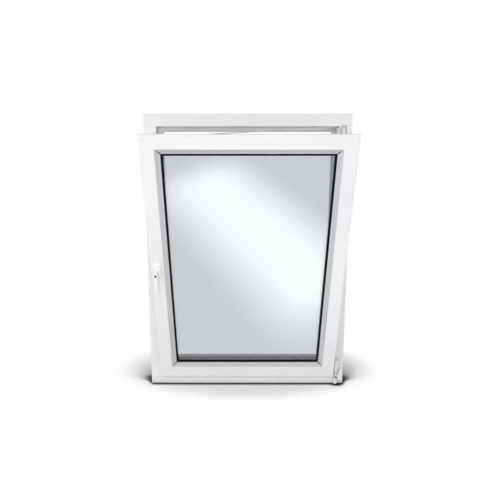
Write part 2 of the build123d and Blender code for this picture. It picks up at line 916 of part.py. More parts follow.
def pivot_rest():
    """Frame half of the bottom hinge: plate, shelf, socket and dowel."""
    back = room - leaf_to_frame
    front = back - leaf_thickness
    rest = upright(rest_outline(0, rest_low), back, front)
    for z in rest_heights:
        rest -= round_bar("Y", (plate_middle, z), screw_hole, front - cut_over, back + cut_over)
    rest += block((hinge_x, plate_x[1]), (hinge_y, back), (rest_low, socket_floor))
    rest += round_bar("Z", (hinge_x, hinge_y), knuckle_radius, rest_low, socket_top)
    rest -= round_bar("Z", (hinge_x, hinge_y), socket_radius + running, socket_floor, socket_top + cut_over)
    return rest + round_bar("Y", (plate_middle, rest_dowel_height), dowel_radius, front, dowel_end)


def cover_shell(outer, inner):
    """Thin plastic cover between two (x, z) outlines, open towards the frame."""
    shell = upright(outer, room, cover_front)
    shell = fillet(shell.faces().sort_by(Axis.Y)[0].edges(), edge_round)
    return shell - upright(inner, room + cut_over, cover_front + cover_wall)


def pivot_rest_cover():
    """Clip-on cover of the pivot rest's plate, open below for its shelf."""
    low = socket_floor + free_gap
    inner = rest_outline(cover_margin - cover_wall, low - cut_over)
    return cover_shell(rest_outline(cover_margin, low), inner)


def pivot_rest_cap():
    """D-shaped cap under the pivot rest's socket, with a half sleeve in front of it."""
    low, half = rest_low - cap_depth, knuckle_radius + slip + cover_wall
    cap = round_bar("Z", (hinge_x, hinge_y), half, low, socket_top)
    cap -= round_bar("Z", (hinge_x, hinge_y), knuckle_radius + slip, rest_low, socket_top + cut_over)
    cap -= block((0, frame_width), (hinge_y, outdoors), (rest_low, socket_top + cut_over))
    cap += block((hinge_x - half, hinge_x + half), (hinge_y, leaf_back), (low, rest_low))
    return chamfer(cap.faces().sort_by(Axis.Z)[0].edges(), cover_wall / 2)


def stay_bearing():
    """Frame half of the top hinge: plate with two dowels and two knuckles."""
    x = plate_x
    front = room - leaf_thickness
    bearing = block(x, (front, room), bearing_range)
    for z in bearing_dowel_heights:
        bearing += round_bar("Y", (plate_middle, z), dowel_radius, front, dowel_end)
    at, bore = (hinge_x, hinge_y), hinge_pin_radius + running
    for bottom, top in (lower_knuckle, upper_knuckle):
        bearing += block((hinge_x, x[0] + weld_lap), (hinge_y, hinge_y + knuckle_radius), (bottom, top))
        bearing += block((x[0] - leaf_thickness, x[0] + weld_lap), (hinge_y, room), (bottom, top))
        bearing += round_bar("Z", at, knuckle_radius, bottom, top)
        bearing -= round_bar("Z", at, bore, bottom - cut_over, top + cut_over)
    return bearing


def stay_bearing_pin():
    """Long pin of the top hinge, with a flat head below."""
    low, high = bearing_range
    at = (hinge_x, hinge_y)
    pin = round_bar("Z", at, hinge_pin_radius, low, high)
    return pin + round_bar("Z", at, pin_head_radius, low - leaf_thickness, low)


def stay_bearing_cover():
    """Clip-on cover of the stay bearing's plate, open towards its knuckles."""
    left, right = plate_x[0] + free_gap, plate_x[1] + cover_margin
    low, high = bearing_range[0] - cover_margin, bearing_range[1] + cover_margin
    outer = [(left, low), (right, low), (right, high), (left, high)]
    low, high, right = low + cover_wall, high - cover_wall, right - cover_wall
    left -= cut_over
    return cover_shell(outer, [(left, low), (right, low), (right, high), (left, high)])


def stay_lean():
    """Lean of the stay's pivot, so that its end falls with the sash as it swings out."""
    fall, reach = guide_motion()
    return atan((fall - stay_lift) / reach)


def guide_motion():
    """How far the stay's guide falls and moves into the room as the sash tilts."""
    arm, rise = groove - hinge_y, sash_top - tilt_height
    angle = radians(tilt_angle)
    fall = rise * (1 - cos(angle)) - arm * sin(angle)
    reach = rise * sin(angle) + arm * (1 - cos(angle))
    return fall, reach


def stay_swing():
    """Angle of the stay from closed to tilted."""
    return degrees(asin(guide_motion()[1] / (stay_length * cos(stay_lean()))))


def on_stay_pivot(shape, swing=0.0):
    """Carry a shape drawn about the stay's pivot to its place."""
    pivot = Pos(sash_x + seat_depth, groove + stay_shift, sash_top + stay_height)
    return pivot * Rot(degrees(stay_lean()), 0, 0) * Rot(0, 0, swing) * shape


def stay_band():
    """Stay band: barrel on the top hinge pin and a plate folded in behind the sash's lip."""
    low, high = stay_band_range
    band = knuckle(low, high, hinge_pin_radius + running)
    shelf_back = groove + seat_width / 2
    shelf_length = stay_width + 2 * leaf_thickness
    shelf_low = -slip - leaf_thickness
    shelf = block(
        (-shelf_length / 2, stay_width / 2),
        (leaf_front - groove - stay_shift, shelf_back - groove - stay_shift),
        (shelf_low, -slip / 2),
    )
    shelf -= round_bar("Z", (0, 0), rivet_radius + running, shelf_low - cut_over, cut_over)
    band += on_stay_pivot(shelf)
    fold = sash_top + stay_height - leaf_thickness - slip
    inner = sash_x + free_gap
    leaf_y, foot = (leaf_front, leaf_back), low + lip_gap
    leaf = block((inner, hinge_x), leaf_y, (foot, high - free_gap))
    leaf += block((inner, hinge_x - knuckle_radius - free_gap), leaf_y, (foot, fold))
    return band + leaf


def half_sleeve(low, high):
    """Plastic half sleeve over a barrel on the turn axis."""
    at = (hinge_x, hinge_y)
    inner = knuckle_radius + slip
    sleeve = round_bar("Z", at, inner + cover_wall, low, high)
    sleeve -= round_bar("Z", at, inner, low - cut_over, high + cut_over)
    back = hinge_y + knuckle_radius / 2
    return sleeve - block((0, frame_width), (back, outdoors), (low - cut_over, high + cut_over))


def band_cover():
    """Half sleeve that covers the stay band's barrel."""
    low, high = stay_band_range
    return half_sleeve(low + free_gap, high - free_gap)


def corner_band_cover():
    """Half sleeve that covers the corner band's barrel above the pivot rest."""
    return half_sleeve(rest_high + 2 * cover_margin, corner_band_range[1] - free_gap)


def stay_arm():
    """Flat stay arm with round ends."""
    middle = -stay_length / 2
    plate = extrude(Plane.XY * SlotCenterToCenter(stay_length, stay_width), amount=stay_thickness)
    arm = Pos(middle, 0, 0) * plate
    arm -= round_bar("Z", (0, 0), rivet_radius, -cut_over, stay_thickness + cut_over)
    arm -= round_bar("Z", (-stay_length, 0), stud_radius, -cut_over, stay_thickness + cut_over)
    return on_stay_pivot(arm, stay_swing())


def stay_studs():
    """Rivet that the stay turns on and the stud that runs in the guide."""
    below = -slip - leaf_thickness
    rivet = round_bar("Z", (0, 0), rivet_radius, below - slip, stay_thickness)
    rivet += round_bar("Z", (0, 0), rivet_head_radius, below - slip - rivet_head, below - slip)
    stud = round_bar("Z", (-stay_length, 0), stud_radius, -stud_length, stay_thickness)
    return group(on_stay_pivot(rivet, stay_swing()), on_stay_pivot(stud, stay_swing()))


def stay_guide():
    """Top faceplate with a slot over the channel that the stay's stud runs in."""
    tip = sash_x + seat_depth - stay_length
    end = tip + stay_length * (1 - cos(radians(stay_swing())))
    width = channel_width - 2 * guide_wall - slip
    plate = cover_strip("head", guide_low, guide_high)
    x = span("head", tip - guide_margin, end + guide_margin)
    floor = rebate + stud_length + guide_wall
    plate += block((x[0] - guide_wall, x[1] + guide_wall), across(width + 2 * guide_wall), (rebate, floor))
    plate -= block(x, across(width), (rebate - cut_over, floor - guide_wall))
    for _, start, stop in top_cams:
        plate -= cam_slot("head", start, stop)
    return place(plate, "head")


# Stretches of the rods and places of the cams and strikes
left_low = rebate + corner_leg + rod_travel + 2 * cam_radius
left_high = sash_top - corner_leg - 2 * cam_radius
top_low = -sash_x + corner_leg + rod_travel + cam_stem
top_high = sash_x - corner_leg - 2 * cam_radius
bottom_low = -sash_x + corner_leg + 2 * cam_radius
bottom_high = frame_width / 4
bottom_plate_end = bottom_high + rod_travel + faceplate_tail
right_low = sash_top - 2 * corner_leg
right_high = sash_top - corner_leg - rod_travel - cam_stem
guide_low = -sash_x + corner_leg + free_gap
guide_high = sash_x - corner_leg - free_gap
keeper_place = keeper_share * frame_width


def cam_run(at, direction):
    """A cam's place at rest with the ends of its run, in the direction of its rod."""
    return at, min(at, at + direction * rod_travel), max(at, at + direction * rod_travel)


left_cams = [cam_run(rebate + share * (sash_top - rebate), -1) for share in left_cam_shares]
top_cams = [cam_run(top_low + 2 * cam_radius, -1)]
bottom_cams = [cam_run(share * frame_width, 1) for share in bottom_cam_shares]
right_cams = [cam_run((right_low + right_high) / 2, 1)]
deep_level = rebate + deep_rod_level
lifter_place = left_cams[0][0] + lifter_gap


def faceplates():
    """Cover strips of the left, bottom and right grooves."""
    return group(
        faceplate("left", rebate + corner_leg + free_gap, sash_top - corner_leg - free_gap, left_cams),
        faceplate("sill", -sash_x + corner_leg + free_gap, bottom_plate_end, bottom_cams),
        faceplate("right", right_low - faceplate_tail, sash_top - corner_leg - free_gap, right_cams),
    )


def strike_plates():
    """Strike plates on the frame, one opposite each cam."""
    cams = [("left", left_cams), ("head", top_cams), ("sill", bottom_cams), ("right", right_cams)]
    return group(*[strike_plate(side, cam[0]) for side, runs in cams for cam in runs])


def hinge_drillings():
    """Holes in the right jamb for the dowels of the hinge plates."""
    heights = (rest_dowel_height, *bearing_dowel_heights)
    end = dowel_end + slip
    holes = [round_bar("Y", (plate_middle, z), dowel_radius + slip, room - cut_over, end) for z in heights]
    return holes[0] + holes[1] + holes[2]


def frame_nodes():
    """Pieces that stay with the wall."""
    return {
        "frame_sill": frame_member("sill") - drain_slots(),
        "frame_head": frame_member("head"),
        "frame_jamb_left": frame_member("left") - wall_fixings("left"),
        "frame_jamb_right": frame_member("right") - wall_fixings("right") - hinge_drillings(),
        "frame_reinforcement": frame_reinforcement(),
        "frame_gasket": frame_gasket(),
        "strike_plates": strike_plates(),
        "tilt_keeper": tilt_keeper(),
        "run_up_block": run_up_block(),
        "stay_bearing": stay_bearing(),
        "stay_bearing_pin": stay_bearing_pin(),
        "stay_bearing_cover": stay_bearing_cover(),
        "pivot_rest": pivot_rest(),
        "pivot_rest_packer": pivot_rest_packer(),
        "pivot_rest_cover": pivot_rest_cover(),
        "pivot_rest_cap": pivot_rest_cap(),
        "stay_band": stay_band(),
        "band_cover": band_cover(),
        "swivel_fork": swivel_fork(),
        "stay_arm": stay_arm(),
        "stay_studs": stay_studs(),
    }


def sash_nodes():
    """Pieces that tilt with the sash, drawn closed."""
    return {
        "sash_rail_bottom": sash_member("sill"),
        "sash_rail_top": sash_member("head"),
        "sash_stile_left": sash_member("left") - gear_pocket(),
        "sash_stile_right": sash_member("right"),
        "sash_reinforcement": sash_reinforcement(),
        "sash_gasket": sash_gasket(),
        "bead_bottom": glazing_bead("sill"),
        "bead_top": glazing_bead("head"),
        "bead_left": glazing_bead("left"),
        "bead_right": glazing_bead("right"),
        "glazing_gasket_inner": inner_glazing_gasket(),
        "glazing_gasket_outer": outer_glazing_gasket(),
        "glass_inner": pane(glass_front),
        "glass_outer": pane(glass_back - pane_thickness),
        "glass_spacer": glass_spacer(),
        "setting_blocks": setting_blocks(),
        "gear_case": gear_case(),
        "faceplates": faceplates(),
        "stay_guide": stay_guide(),
        "corner_drives": group(
            corner_drive("left", "top"), corner_drive("right", "top"), corner_drive("left", "bottom")
        ),
        "corner_band": corner_band(),
        "corner_band_cover": corner_band_cover(),
        "tilt_pin": tilt_pin(),
        "sash_lifter": sash_lifter(),
        "handle_rose": handle_rose(),
        "handle_screws": handle_screws(),
        "rose_caps": rose_caps(),
        "handle_lever": handle_lever(),
        "handle_spindle": handle_spindle(),
        "lock_barrel": lock_barrel(),
        "drive_pinion": drive_pinion(),
        "drive_rod_left": left_rod(),
        "drive_rod_top": place(drive_rod("head", top_low, top_high, deep_level), "head"),
        "drive_rod_bottom": drive_rod("sill", bottom_low, bottom_high, rod_outer),
        "drive_rod_right": place(drive_rod("right", right_low, right_high, rod_outer), "right"),
        "cams_left": group(*[locking_cam("left", cam[0], rod_outer) for cam in left_cams]),
        "cams_top": group(*[locking_cam("head", cam[0], deep_level) for cam in top_cams]),
        "cams_bottom": group(*[locking_cam("sill", cam[0], rod_outer) for cam in bottom_cams]),
        "cams_right": group(*[locking_cam("right", cam[0], rod_outer) for cam in right_cams]),
    }


def write_parts():
    """Write one STEP file for each piece, with the sash tilted."""
    os.makedirs("parts", exist_ok=True)
    pieces = frame_nodes()
    for name, shape in sash_nodes().items():
        pieces[name] = shape.rotate(tilt_axis, tilt_angle)
    for name, shape in pieces.items():
        export_step(shape, f"parts/{name}.step")


write_parts()
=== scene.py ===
"""Finishes, small fixings and stage for a white tilt-and-turn window, laid out as an add-on."""

import json
import math

import bmesh
import bpy
from mathutils import Matrix, Vector


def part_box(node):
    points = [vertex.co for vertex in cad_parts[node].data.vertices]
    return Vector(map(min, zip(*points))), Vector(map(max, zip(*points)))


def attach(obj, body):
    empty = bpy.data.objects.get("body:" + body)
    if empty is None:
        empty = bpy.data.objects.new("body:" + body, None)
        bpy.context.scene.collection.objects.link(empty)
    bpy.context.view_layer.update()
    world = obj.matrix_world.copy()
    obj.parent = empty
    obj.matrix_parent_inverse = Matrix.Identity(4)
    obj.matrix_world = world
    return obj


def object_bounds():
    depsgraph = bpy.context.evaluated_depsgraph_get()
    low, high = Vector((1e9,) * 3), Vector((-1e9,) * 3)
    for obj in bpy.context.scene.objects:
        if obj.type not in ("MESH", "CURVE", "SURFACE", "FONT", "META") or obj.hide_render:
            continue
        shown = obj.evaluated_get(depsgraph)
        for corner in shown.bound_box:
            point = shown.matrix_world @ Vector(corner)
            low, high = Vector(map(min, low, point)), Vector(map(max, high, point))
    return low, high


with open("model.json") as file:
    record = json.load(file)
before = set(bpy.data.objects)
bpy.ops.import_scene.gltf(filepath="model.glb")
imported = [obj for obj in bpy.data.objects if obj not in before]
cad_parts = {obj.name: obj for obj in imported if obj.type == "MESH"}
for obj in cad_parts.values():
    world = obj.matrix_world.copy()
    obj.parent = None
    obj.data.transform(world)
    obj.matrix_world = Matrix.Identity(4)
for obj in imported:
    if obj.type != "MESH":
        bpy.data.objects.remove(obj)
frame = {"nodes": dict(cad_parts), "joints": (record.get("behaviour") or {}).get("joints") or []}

bl_info = {
    "name": "Tilt and Turn Window",
    "version": (1, 0, 0),
    "blender": (4, 5, 0),
    "location": "3D View > Sidebar > Window",
    "description": "Finishes, small fixings and stage for a white tilt-and-turn window",
    "category": "Object",
}

CAD_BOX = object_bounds()
CAD_MIDDLE = (CAD_BOX[0] + CAD_BOX[1]) / 2
IMAGE_PIXELS = 500
SENSOR_WIDTH = 36.0

ACROSS_NODES = ("frame_sill", "frame_head", "sash_rail_bottom", "sash_rail_top")
UPRIGHT_NODES = ("frame_jamb_left", "frame_jamb_right", "sash_stile_left", "sash_stile_right")
CORNERS = ((-1, -1), (1, -1), (-1, 1), (1, 1))
TO_ROOM = Vector((0.0, -1.0, 0.0))
AS_DRAWN = Matrix.Identity(4)
OUTWARDS = 1.0
INWARDS = -1.0

# Noise, relief and gloss of the materials
NOISE_RANGE = (0.3, 0.7)
RELIEF_DEPTH = 0.0002
BLOOM_SWING = 0.08
DRAW_LINE_STRETCH = 0.02
GLASS_IOR = 1.52

# Shapes of the small fixings, as shares of their own sizes
SCREW_TAPER = 0.86
RECESS_RIM = 0.3
RECESS_WALL = 0.02
RECESS_DEPTH = 0.8
LOBE_WAIST = 0.74
RIB_ROUNDING = 0.3
# Painted shade: the black ribs along the bead mitres stand for the shade in the mitre joints.
MITRE_SHADE_FLATNESS = 0.44
MITRE_SHADE_TIP = 0.2
SEAM_FLATNESS = 0.25
HOOD_ROUNDING = 0.5
HOOD_RIM = 0.2
HOOD_WALL = 0.1
HOOD_DISH = 0.25

SCREW_SEGMENTS = 24
FLOOR_HALF_WIDTH = 40.0


# Reading the CAD model


def joint(name):
    """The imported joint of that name."""
    for candidate in frame["joints"]:
        if candidate["name"] == name:
            return candidate
    raise RuntimeError(f"the frame has no joint named {name}")


def sash_lean():
    """The turn that takes the closed sash to its tilted rest pose."""
    tilt = joint("sash_tilt")
    lean = math.radians(-tilt["range_deg"][0])
    pivot = Vector(tilt["pos_m"])
    turn = Matrix.Rotation(lean, 4, Vector(tilt["axis"]))
    return Matrix.Translation(pivot) @ turn @ Matrix.Translation(-pivot)


def nodes_with_slot(slot):
    """The CAD objects that the record paints with a slot."""
    return [o for o in frame["nodes"].values() if o.material_slots[0].material.name == slot]


def material_of(node):
    """The material that a CAD object shows."""
    return frame["nodes"][node].material_slots[0].material


def box_of(points):
    """Lowest and highest corner of some points."""
    low = Vector([min(point[axis] for point in points) for axis in range(3)])
    high = Vector([max(point[axis] for point in points) for axis in range(3)])
    return low, high


def closed_box(*nodes):
    """Box of some sash nodes, taken back to the closed pose."""
    back = sash_lean().inverted()
    return box_of([back @ vertex.co for node in nodes for vertex in frame["nodes"][node].data.vertices])


def touching(start, waiting):
    """The vertices joined to a vertex by edges, taken out of those that wait."""
    found = [start]
    for vertex in found:
        for edge in vertex.link_edges:
            other = edge.other_vert(vertex)
            if other in waiting:
                waiting.remove(other)
                found.append(other)
    return found


def solid_boxes(node, turn):
    """Boxes of a CAD node's separate solids, after a turn."""
    form = bmesh.new()
    form.from_mesh(frame["nodes"][node].data)
    bmesh.ops.remove_doubles(form, verts=form.verts, dist=1e-6)
    bmesh.ops.transform(form, matrix=turn, verts=form.verts)
    waiting = set(form.verts)
    boxes = []
    while waiting:
        solid = touching(waiting.pop(), waiting)
        boxes.append(box_of([vertex.co for vertex in solid]))
    form.free()
    return boxes


# Materials


def node_material(name, base, roughness, metallic=0.0, specular=0.5):
    """A Principled material with its uniform values on the shader's own sockets."""
    material = bpy.data.materials.new(name)
    material.use_nodes = True
    shader = material.node_tree.nodes["Principled BSDF"]
    shader.inputs["Base Color"].default_value = (*base, 1.0)
    shader.inputs["Roughness"].default_value = roughness
    shader.inputs["Metallic"].default_value = metallic
    shader.inputs["Specular IOR Level"].default_value = specular
    return material, shader


def noise(material, scale, stretch=(1.0, 1.0, 1.0), detail=3.0):
    """Noise on Object coordinates, drawn out along an axis by its stretch."""
    tree = material.node_tree
    place = tree.nodes.new("ShaderNodeTexCoord")
    mapping = tree.nodes.new("ShaderNodeMapping")
    mapping.inputs["Scale"].default_value = stretch
    texture = tree.nodes.new("ShaderNodeTexNoise")
    texture.inputs["Scale"].default_value = scale
    texture.inputs["Detail"].default_value = detail
    tree.links.new(place.outputs["Object"], mapping.inputs["Vector"])
    tree.links.new(mapping.outputs["Vector"], texture.inputs["Vector"])
    return texture.outputs["Fac"]


def spread(material, factor, low, high):
    """A noise factor spread between two values."""
    tree = material.node_tree
    node = tree.nodes.new("ShaderNodeMapRange")
    node.inputs["From Min"].default_value = NOISE_RANGE[0]
    node.inputs["From Max"].default_value = NOISE_RANGE[1]
    node.inputs["To Min"].default_value = low
    node.inputs["To Max"].default_value = high
    tree.links.new(factor, node.inputs["Value"])
    return node.outputs["Result"]


def vary_roughness(material, shader, factor, low, high):
    """Roughness that wanders between two values."""
    material.node_tree.links.new(spread(material, factor, low, high), shader.inputs["Roughness"])


def vary_colour(material, shader, factor, first, second):
    """Base colour that wanders between two colours."""
    tree = material.node_tree
    ramp = tree.nodes.new("ShaderNodeValToRGB")
    for element, position, colour in zip(ramp.color_ramp.elements, NOISE_RANGE, (first, second)):
        element.position = position
        element.color = (*colour, 1.0)
    tree.links.new(factor, ramp.inputs["Fac"])
    tree.links.new(ramp.outputs["Color"], shader.inputs["Base Color"])


def add_bump(material, shader, factor, strength, distance=RELIEF_DEPTH):
    """Surface relief from a noise factor."""
    tree = material.node_tree
    bump = tree.nodes.new("ShaderNodeBump")
    bump.inputs["Strength"].default_value = strength
    bump.inputs["Distance"].default_value = distance
    tree.links.new(factor, bump.inputs["Height"])
    tree.links.new(bump.outputs["Normal"], shader.inputs["Normal"])


def shade(colour, share):
    """A colour made lighter or darker by a share."""
    return tuple(channel * share for channel in colour)


def around(value, share):
    """The values a share below and a share above a value."""
    return value * (1.0 - share), value * (1.0 + share)


def extruded_plastic(name, colour, roughness, length_axis):
    """White extruded plastic with faint draw lines along its length."""
    material, shader = node_material(name, colour, roughness)
    stretch = [1.0, 1.0, 1.0]
    stretch[length_axis] = DRAW_LINE_STRETCH
    lines = noise(material, scale=420.0, stretch=stretch, detail=2.0)
    cloud = noise(material, scale=6.0)
    vary_colour(material, shader, cloud, shade(colour, share=0.985), colour)
    vary_roughness(material, shader, lines, *around(roughness, share=0.15))
    add_bump(material, shader, lines, strength=0.05)
    return material


def moulded_plastic(name, colour, roughness, grain=900.0, relief=0.08):
    """Moulded or coated plastic with a fine grain."""
    material, shader = node_material(name, colour, roughness)
    fine = noise(material, scale=grain)
    cloud = noise(material, scale=9.0)
    vary_colour(material, shader, cloud, shade(colour, share=0.96), colour)
    vary_roughness(material, shader, fine, *around(roughness, share=0.15))
    add_bump(material, shader, fine, strength=relief)
    return material


def rubber(name, colour, roughness, specular):
    """Matt seal rubber with a dry bloom."""
    material, shader = node_material(name, colour, roughness, specular=specular)
    bloom = noise(material, scale=60.0)
    fine = noise(material, scale=1500.0)
    vary_colour(material, shader, bloom, colour, shade(colour, share=1.2))
    vary_roughness(material, shader, bloom, roughness - BLOOM_SWING, roughness + BLOOM_SWING)
    add_bump(material, shader, fine, strength=0.12)
    return material


def plated_metal(name, colour, roughness, grain=(1.0, 1.0, 0.06)):
    """Plated steel with rolling marks and patchy plating."""
    material, shader = node_material(name, colour, roughness, metallic=1.0)
    marks = noise(material, scale=700.0, stretch=grain)
    patches = noise(material, scale=45.0)
    vary_colour(material, shader, patches, shade(colour, share=0.86), colour)
    vary_roughness(material, shader, patches, *around(roughness, share=0.25))
    add_bump(material, shader, marks, strength=0.06)
    return material


def window_glass(name, colour):
    """Float glass with a cool tint and a faint roller wave."""
    material, shader = node_material(name, colour, roughness=0.0)
    shader.inputs["Transmission Weight"].default_value = 1.0
    shader.inputs["IOR"].default_value = GLASS_IOR
    film = noise(material, scale=2.5)
    wave = noise(material, scale=3.0, stretch=(1.0, 1.0, 2.5), detail=1.0)
    vary_roughness(material, shader, film, low=0.0, high=0.02)
    add_bump(material, shader, wave, strength=0.02, distance=0.002)
    return material


def paint(objects, material):
    """Gives CAD objects a material in their first slot."""
    for target in objects:
        target.material_slots[0].material = material


# Settings


class WindowFinish(bpy.types.PropertyGroup):
    """Colours and gloss of the window's surfaces."""

    profile_colour: bpy.props.FloatVectorProperty(
        name="Profile", description="White of the extruded frame and sash", subtype="COLOR",
        default=(0.86, 0.862, 0.885), min=0.0, max=1.0)
    # Painted shade: the beads are the profiles' white plastic, and this darker, bluer grey stands for the
    # shade on their sloping faces.
    bead_shaded_colour: bpy.props.FloatVectorProperty(
        name="Bead", description="White of the glazing beads", subtype="COLOR",
        default=(0.56, 0.585, 0.62), min=0.0, max=1.0)
    gasket_colour: bpy.props.FloatVectorProperty(
        name="Gasket", description="Black of the glazing gaskets", subtype="COLOR",
        default=(0.002, 0.002, 0.004), min=0.0, max=1.0)
    seal_colour: bpy.props.FloatVectorProperty(
        name="Seal", description="Grey of the seals between sash and frame", subtype="COLOR",
        default=(0.55, 0.56, 0.57), min=0.0, max=1.0)
    glass_colour: bpy.props.FloatVectorProperty(
        name="Glass", description="Tint of one pane", subtype="COLOR",
        default=(0.74, 0.772, 0.81), min=0.0, max=1.0)
    spacer_colour: bpy.props.FloatVectorProperty(
        name="Spacer", description="Bar between the two panes", subtype="COLOR",
        default=(0.66, 0.68, 0.71), min=0.0, max=1.0)
    zinc_colour: bpy.props.FloatVectorProperty(
        name="Zinc", description="Plating of the fittings", subtype="COLOR",
        default=(0.62, 0.645, 0.63), min=0.0, max=1.0)
    strike_colour: bpy.props.FloatVectorProperty(
        name="Strike plates", description="Bluish plating of the strike plates", subtype="COLOR",
        default=(0.48, 0.55, 0.64), min=0.0, max=1.0)
    sheet_colour: bpy.props.FloatVectorProperty(
        name="Sheet", description="Galvanised steel inside the profiles", subtype="COLOR",
        default=(0.58, 0.6, 0.62), min=0.0, max=1.0)
    keeper_colour: bpy.props.FloatVectorProperty(
        name="Keeper", description="Dark plating of the tilt keeper", subtype="COLOR",
        default=(0.12, 0.125, 0.14), min=0.0, max=1.0)
    black_colour: bpy.props.FloatVectorProperty(
        name="Black plastic", description="Black moulded pieces", subtype="COLOR",
        default=(0.02, 0.02, 0.02), min=0.0, max=1.0)
    grey_colour: bpy.props.FloatVectorProperty(
        name="Grey plastic", description="Grey moulded pieces", subtype="COLOR",
        default=(0.4, 0.41, 0.42), min=0.0, max=1.0)
    lock_colour: bpy.props.FloatVectorProperty(
        name="Lock", description="Dark plating of the key barrel", subtype="COLOR",
        default=(0.03, 0.03, 0.033), min=0.0, max=1.0)
    cover_colour: bpy.props.FloatVectorProperty(
        name="Covers", description="Plastic covers over the hinges", subtype="COLOR",
        default=(0.82, 0.825, 0.84), min=0.0, max=1.0)
    handle_colour: bpy.props.FloatVectorProperty(
        name="Handle", description="Coating of the handle", subtype="COLOR",
        default=(0.93, 0.93, 0.94), min=0.0, max=1.0)
    profile_roughness: bpy.props.FloatProperty(
        name="Profile roughness", description="Gloss of the white profiles", subtype="FACTOR",
        default=0.34, min=0.0, max=1.0)


class WindowFixings(bpy.types.PropertyGroup):
    """Sizes of the small pieces that only the scene has."""

    screw_radius: bpy.props.FloatProperty(
        name="Screw radius", description="Radius of a screw's head", unit="LENGTH", default=0.0036)
    screw_height: bpy.props.FloatProperty(
        name="Screw height", description="How far a screw's head stands up", unit="LENGTH", default=0.0009)
    strike_base: bpy.props.FloatProperty(
        name="Strike base", description="Thickness of a strike plate under its screws", unit="LENGTH",
        default=0.002)
    eyelet_inset: bpy.props.FloatProperty(
        name="Eyelet inset", description="From a strike plate's end to its screw", unit="LENGTH",
        default=0.007)
    keeper_inset: bpy.props.FloatProperty(
        name="Keeper inset", description="From the keeper's end to its screw", unit="LENGTH", default=0.009)
    plate_inset: bpy.props.FloatProperty(
        name="Faceplate inset", description="From a faceplate's end to its screw", unit="LENGTH",
        default=0.006)
    drive_inset: bpy.props.FloatProperty(
        name="Corner drive inset", description="From the ends of a corner drive's leg to its screws",
        unit="LENGTH", default=0.016)
    lifter_inset: bpy.props.FloatProperty(
        name="Lifter inset", description="From the sash lifter's end to its screw", unit="LENGTH",
        default=0.012)
    gear_spacing: bpy.props.FloatProperty(
        name="Gear screws", description="Distance between the two screws of the gear case", unit="LENGTH",
        default=0.13)
    band_leaf: bpy.props.FloatProperty(
        name="Corner band leaf", description="Thickness of the corner band's leaf", unit="LENGTH",
        default=0.0022)
    band_holes: bpy.props.FloatVectorProperty(
        name="Corner band holes", description="Heights of the corner band's screw holes", size=2,
        unit="LENGTH", default=(0.0827, 0.1052))
    bead_depth: bpy.props.FloatProperty(
        name="Bead depth", description="How far a bead falls from its edge to its nose", unit="LENGTH",
        default=0.0085)
    bead_nose: bpy.props.FloatProperty(
        name="Bead nose", description="Width of the flat nose of a bead", unit="LENGTH", default=0.005)
    # Painted shade: these ribs along the bead mitres stand for the shade in the mitre joints, drawn in the
    # gasket's black.
    mitre_shade_width: bpy.props.FloatProperty(
        name="Mitre shade width", description="Width of a gasket's corner fold", unit="LENGTH", default=0.004)
    seam_width: bpy.props.FloatProperty(
        name="Seam width", description="Width of a weld seam at a corner", unit="LENGTH", default=0.0012)
    edge_round: bpy.props.FloatProperty(
        name="Edge rounding", description="Rounding of the profiles' edges", unit="LENGTH", default=0.0025)
    drain_cap: bpy.props.FloatVectorProperty(
        name="Drain cap", description="Width, depth and height of a cap over a drain slot", unit="LENGTH",
        default=(0.040, 0.004, 0.012))
    drain_level: bpy.props.FloatProperty(
        name="Drain level", description="Height of the drain slots above the sill's underside",
        unit="LENGTH", default=0.012)


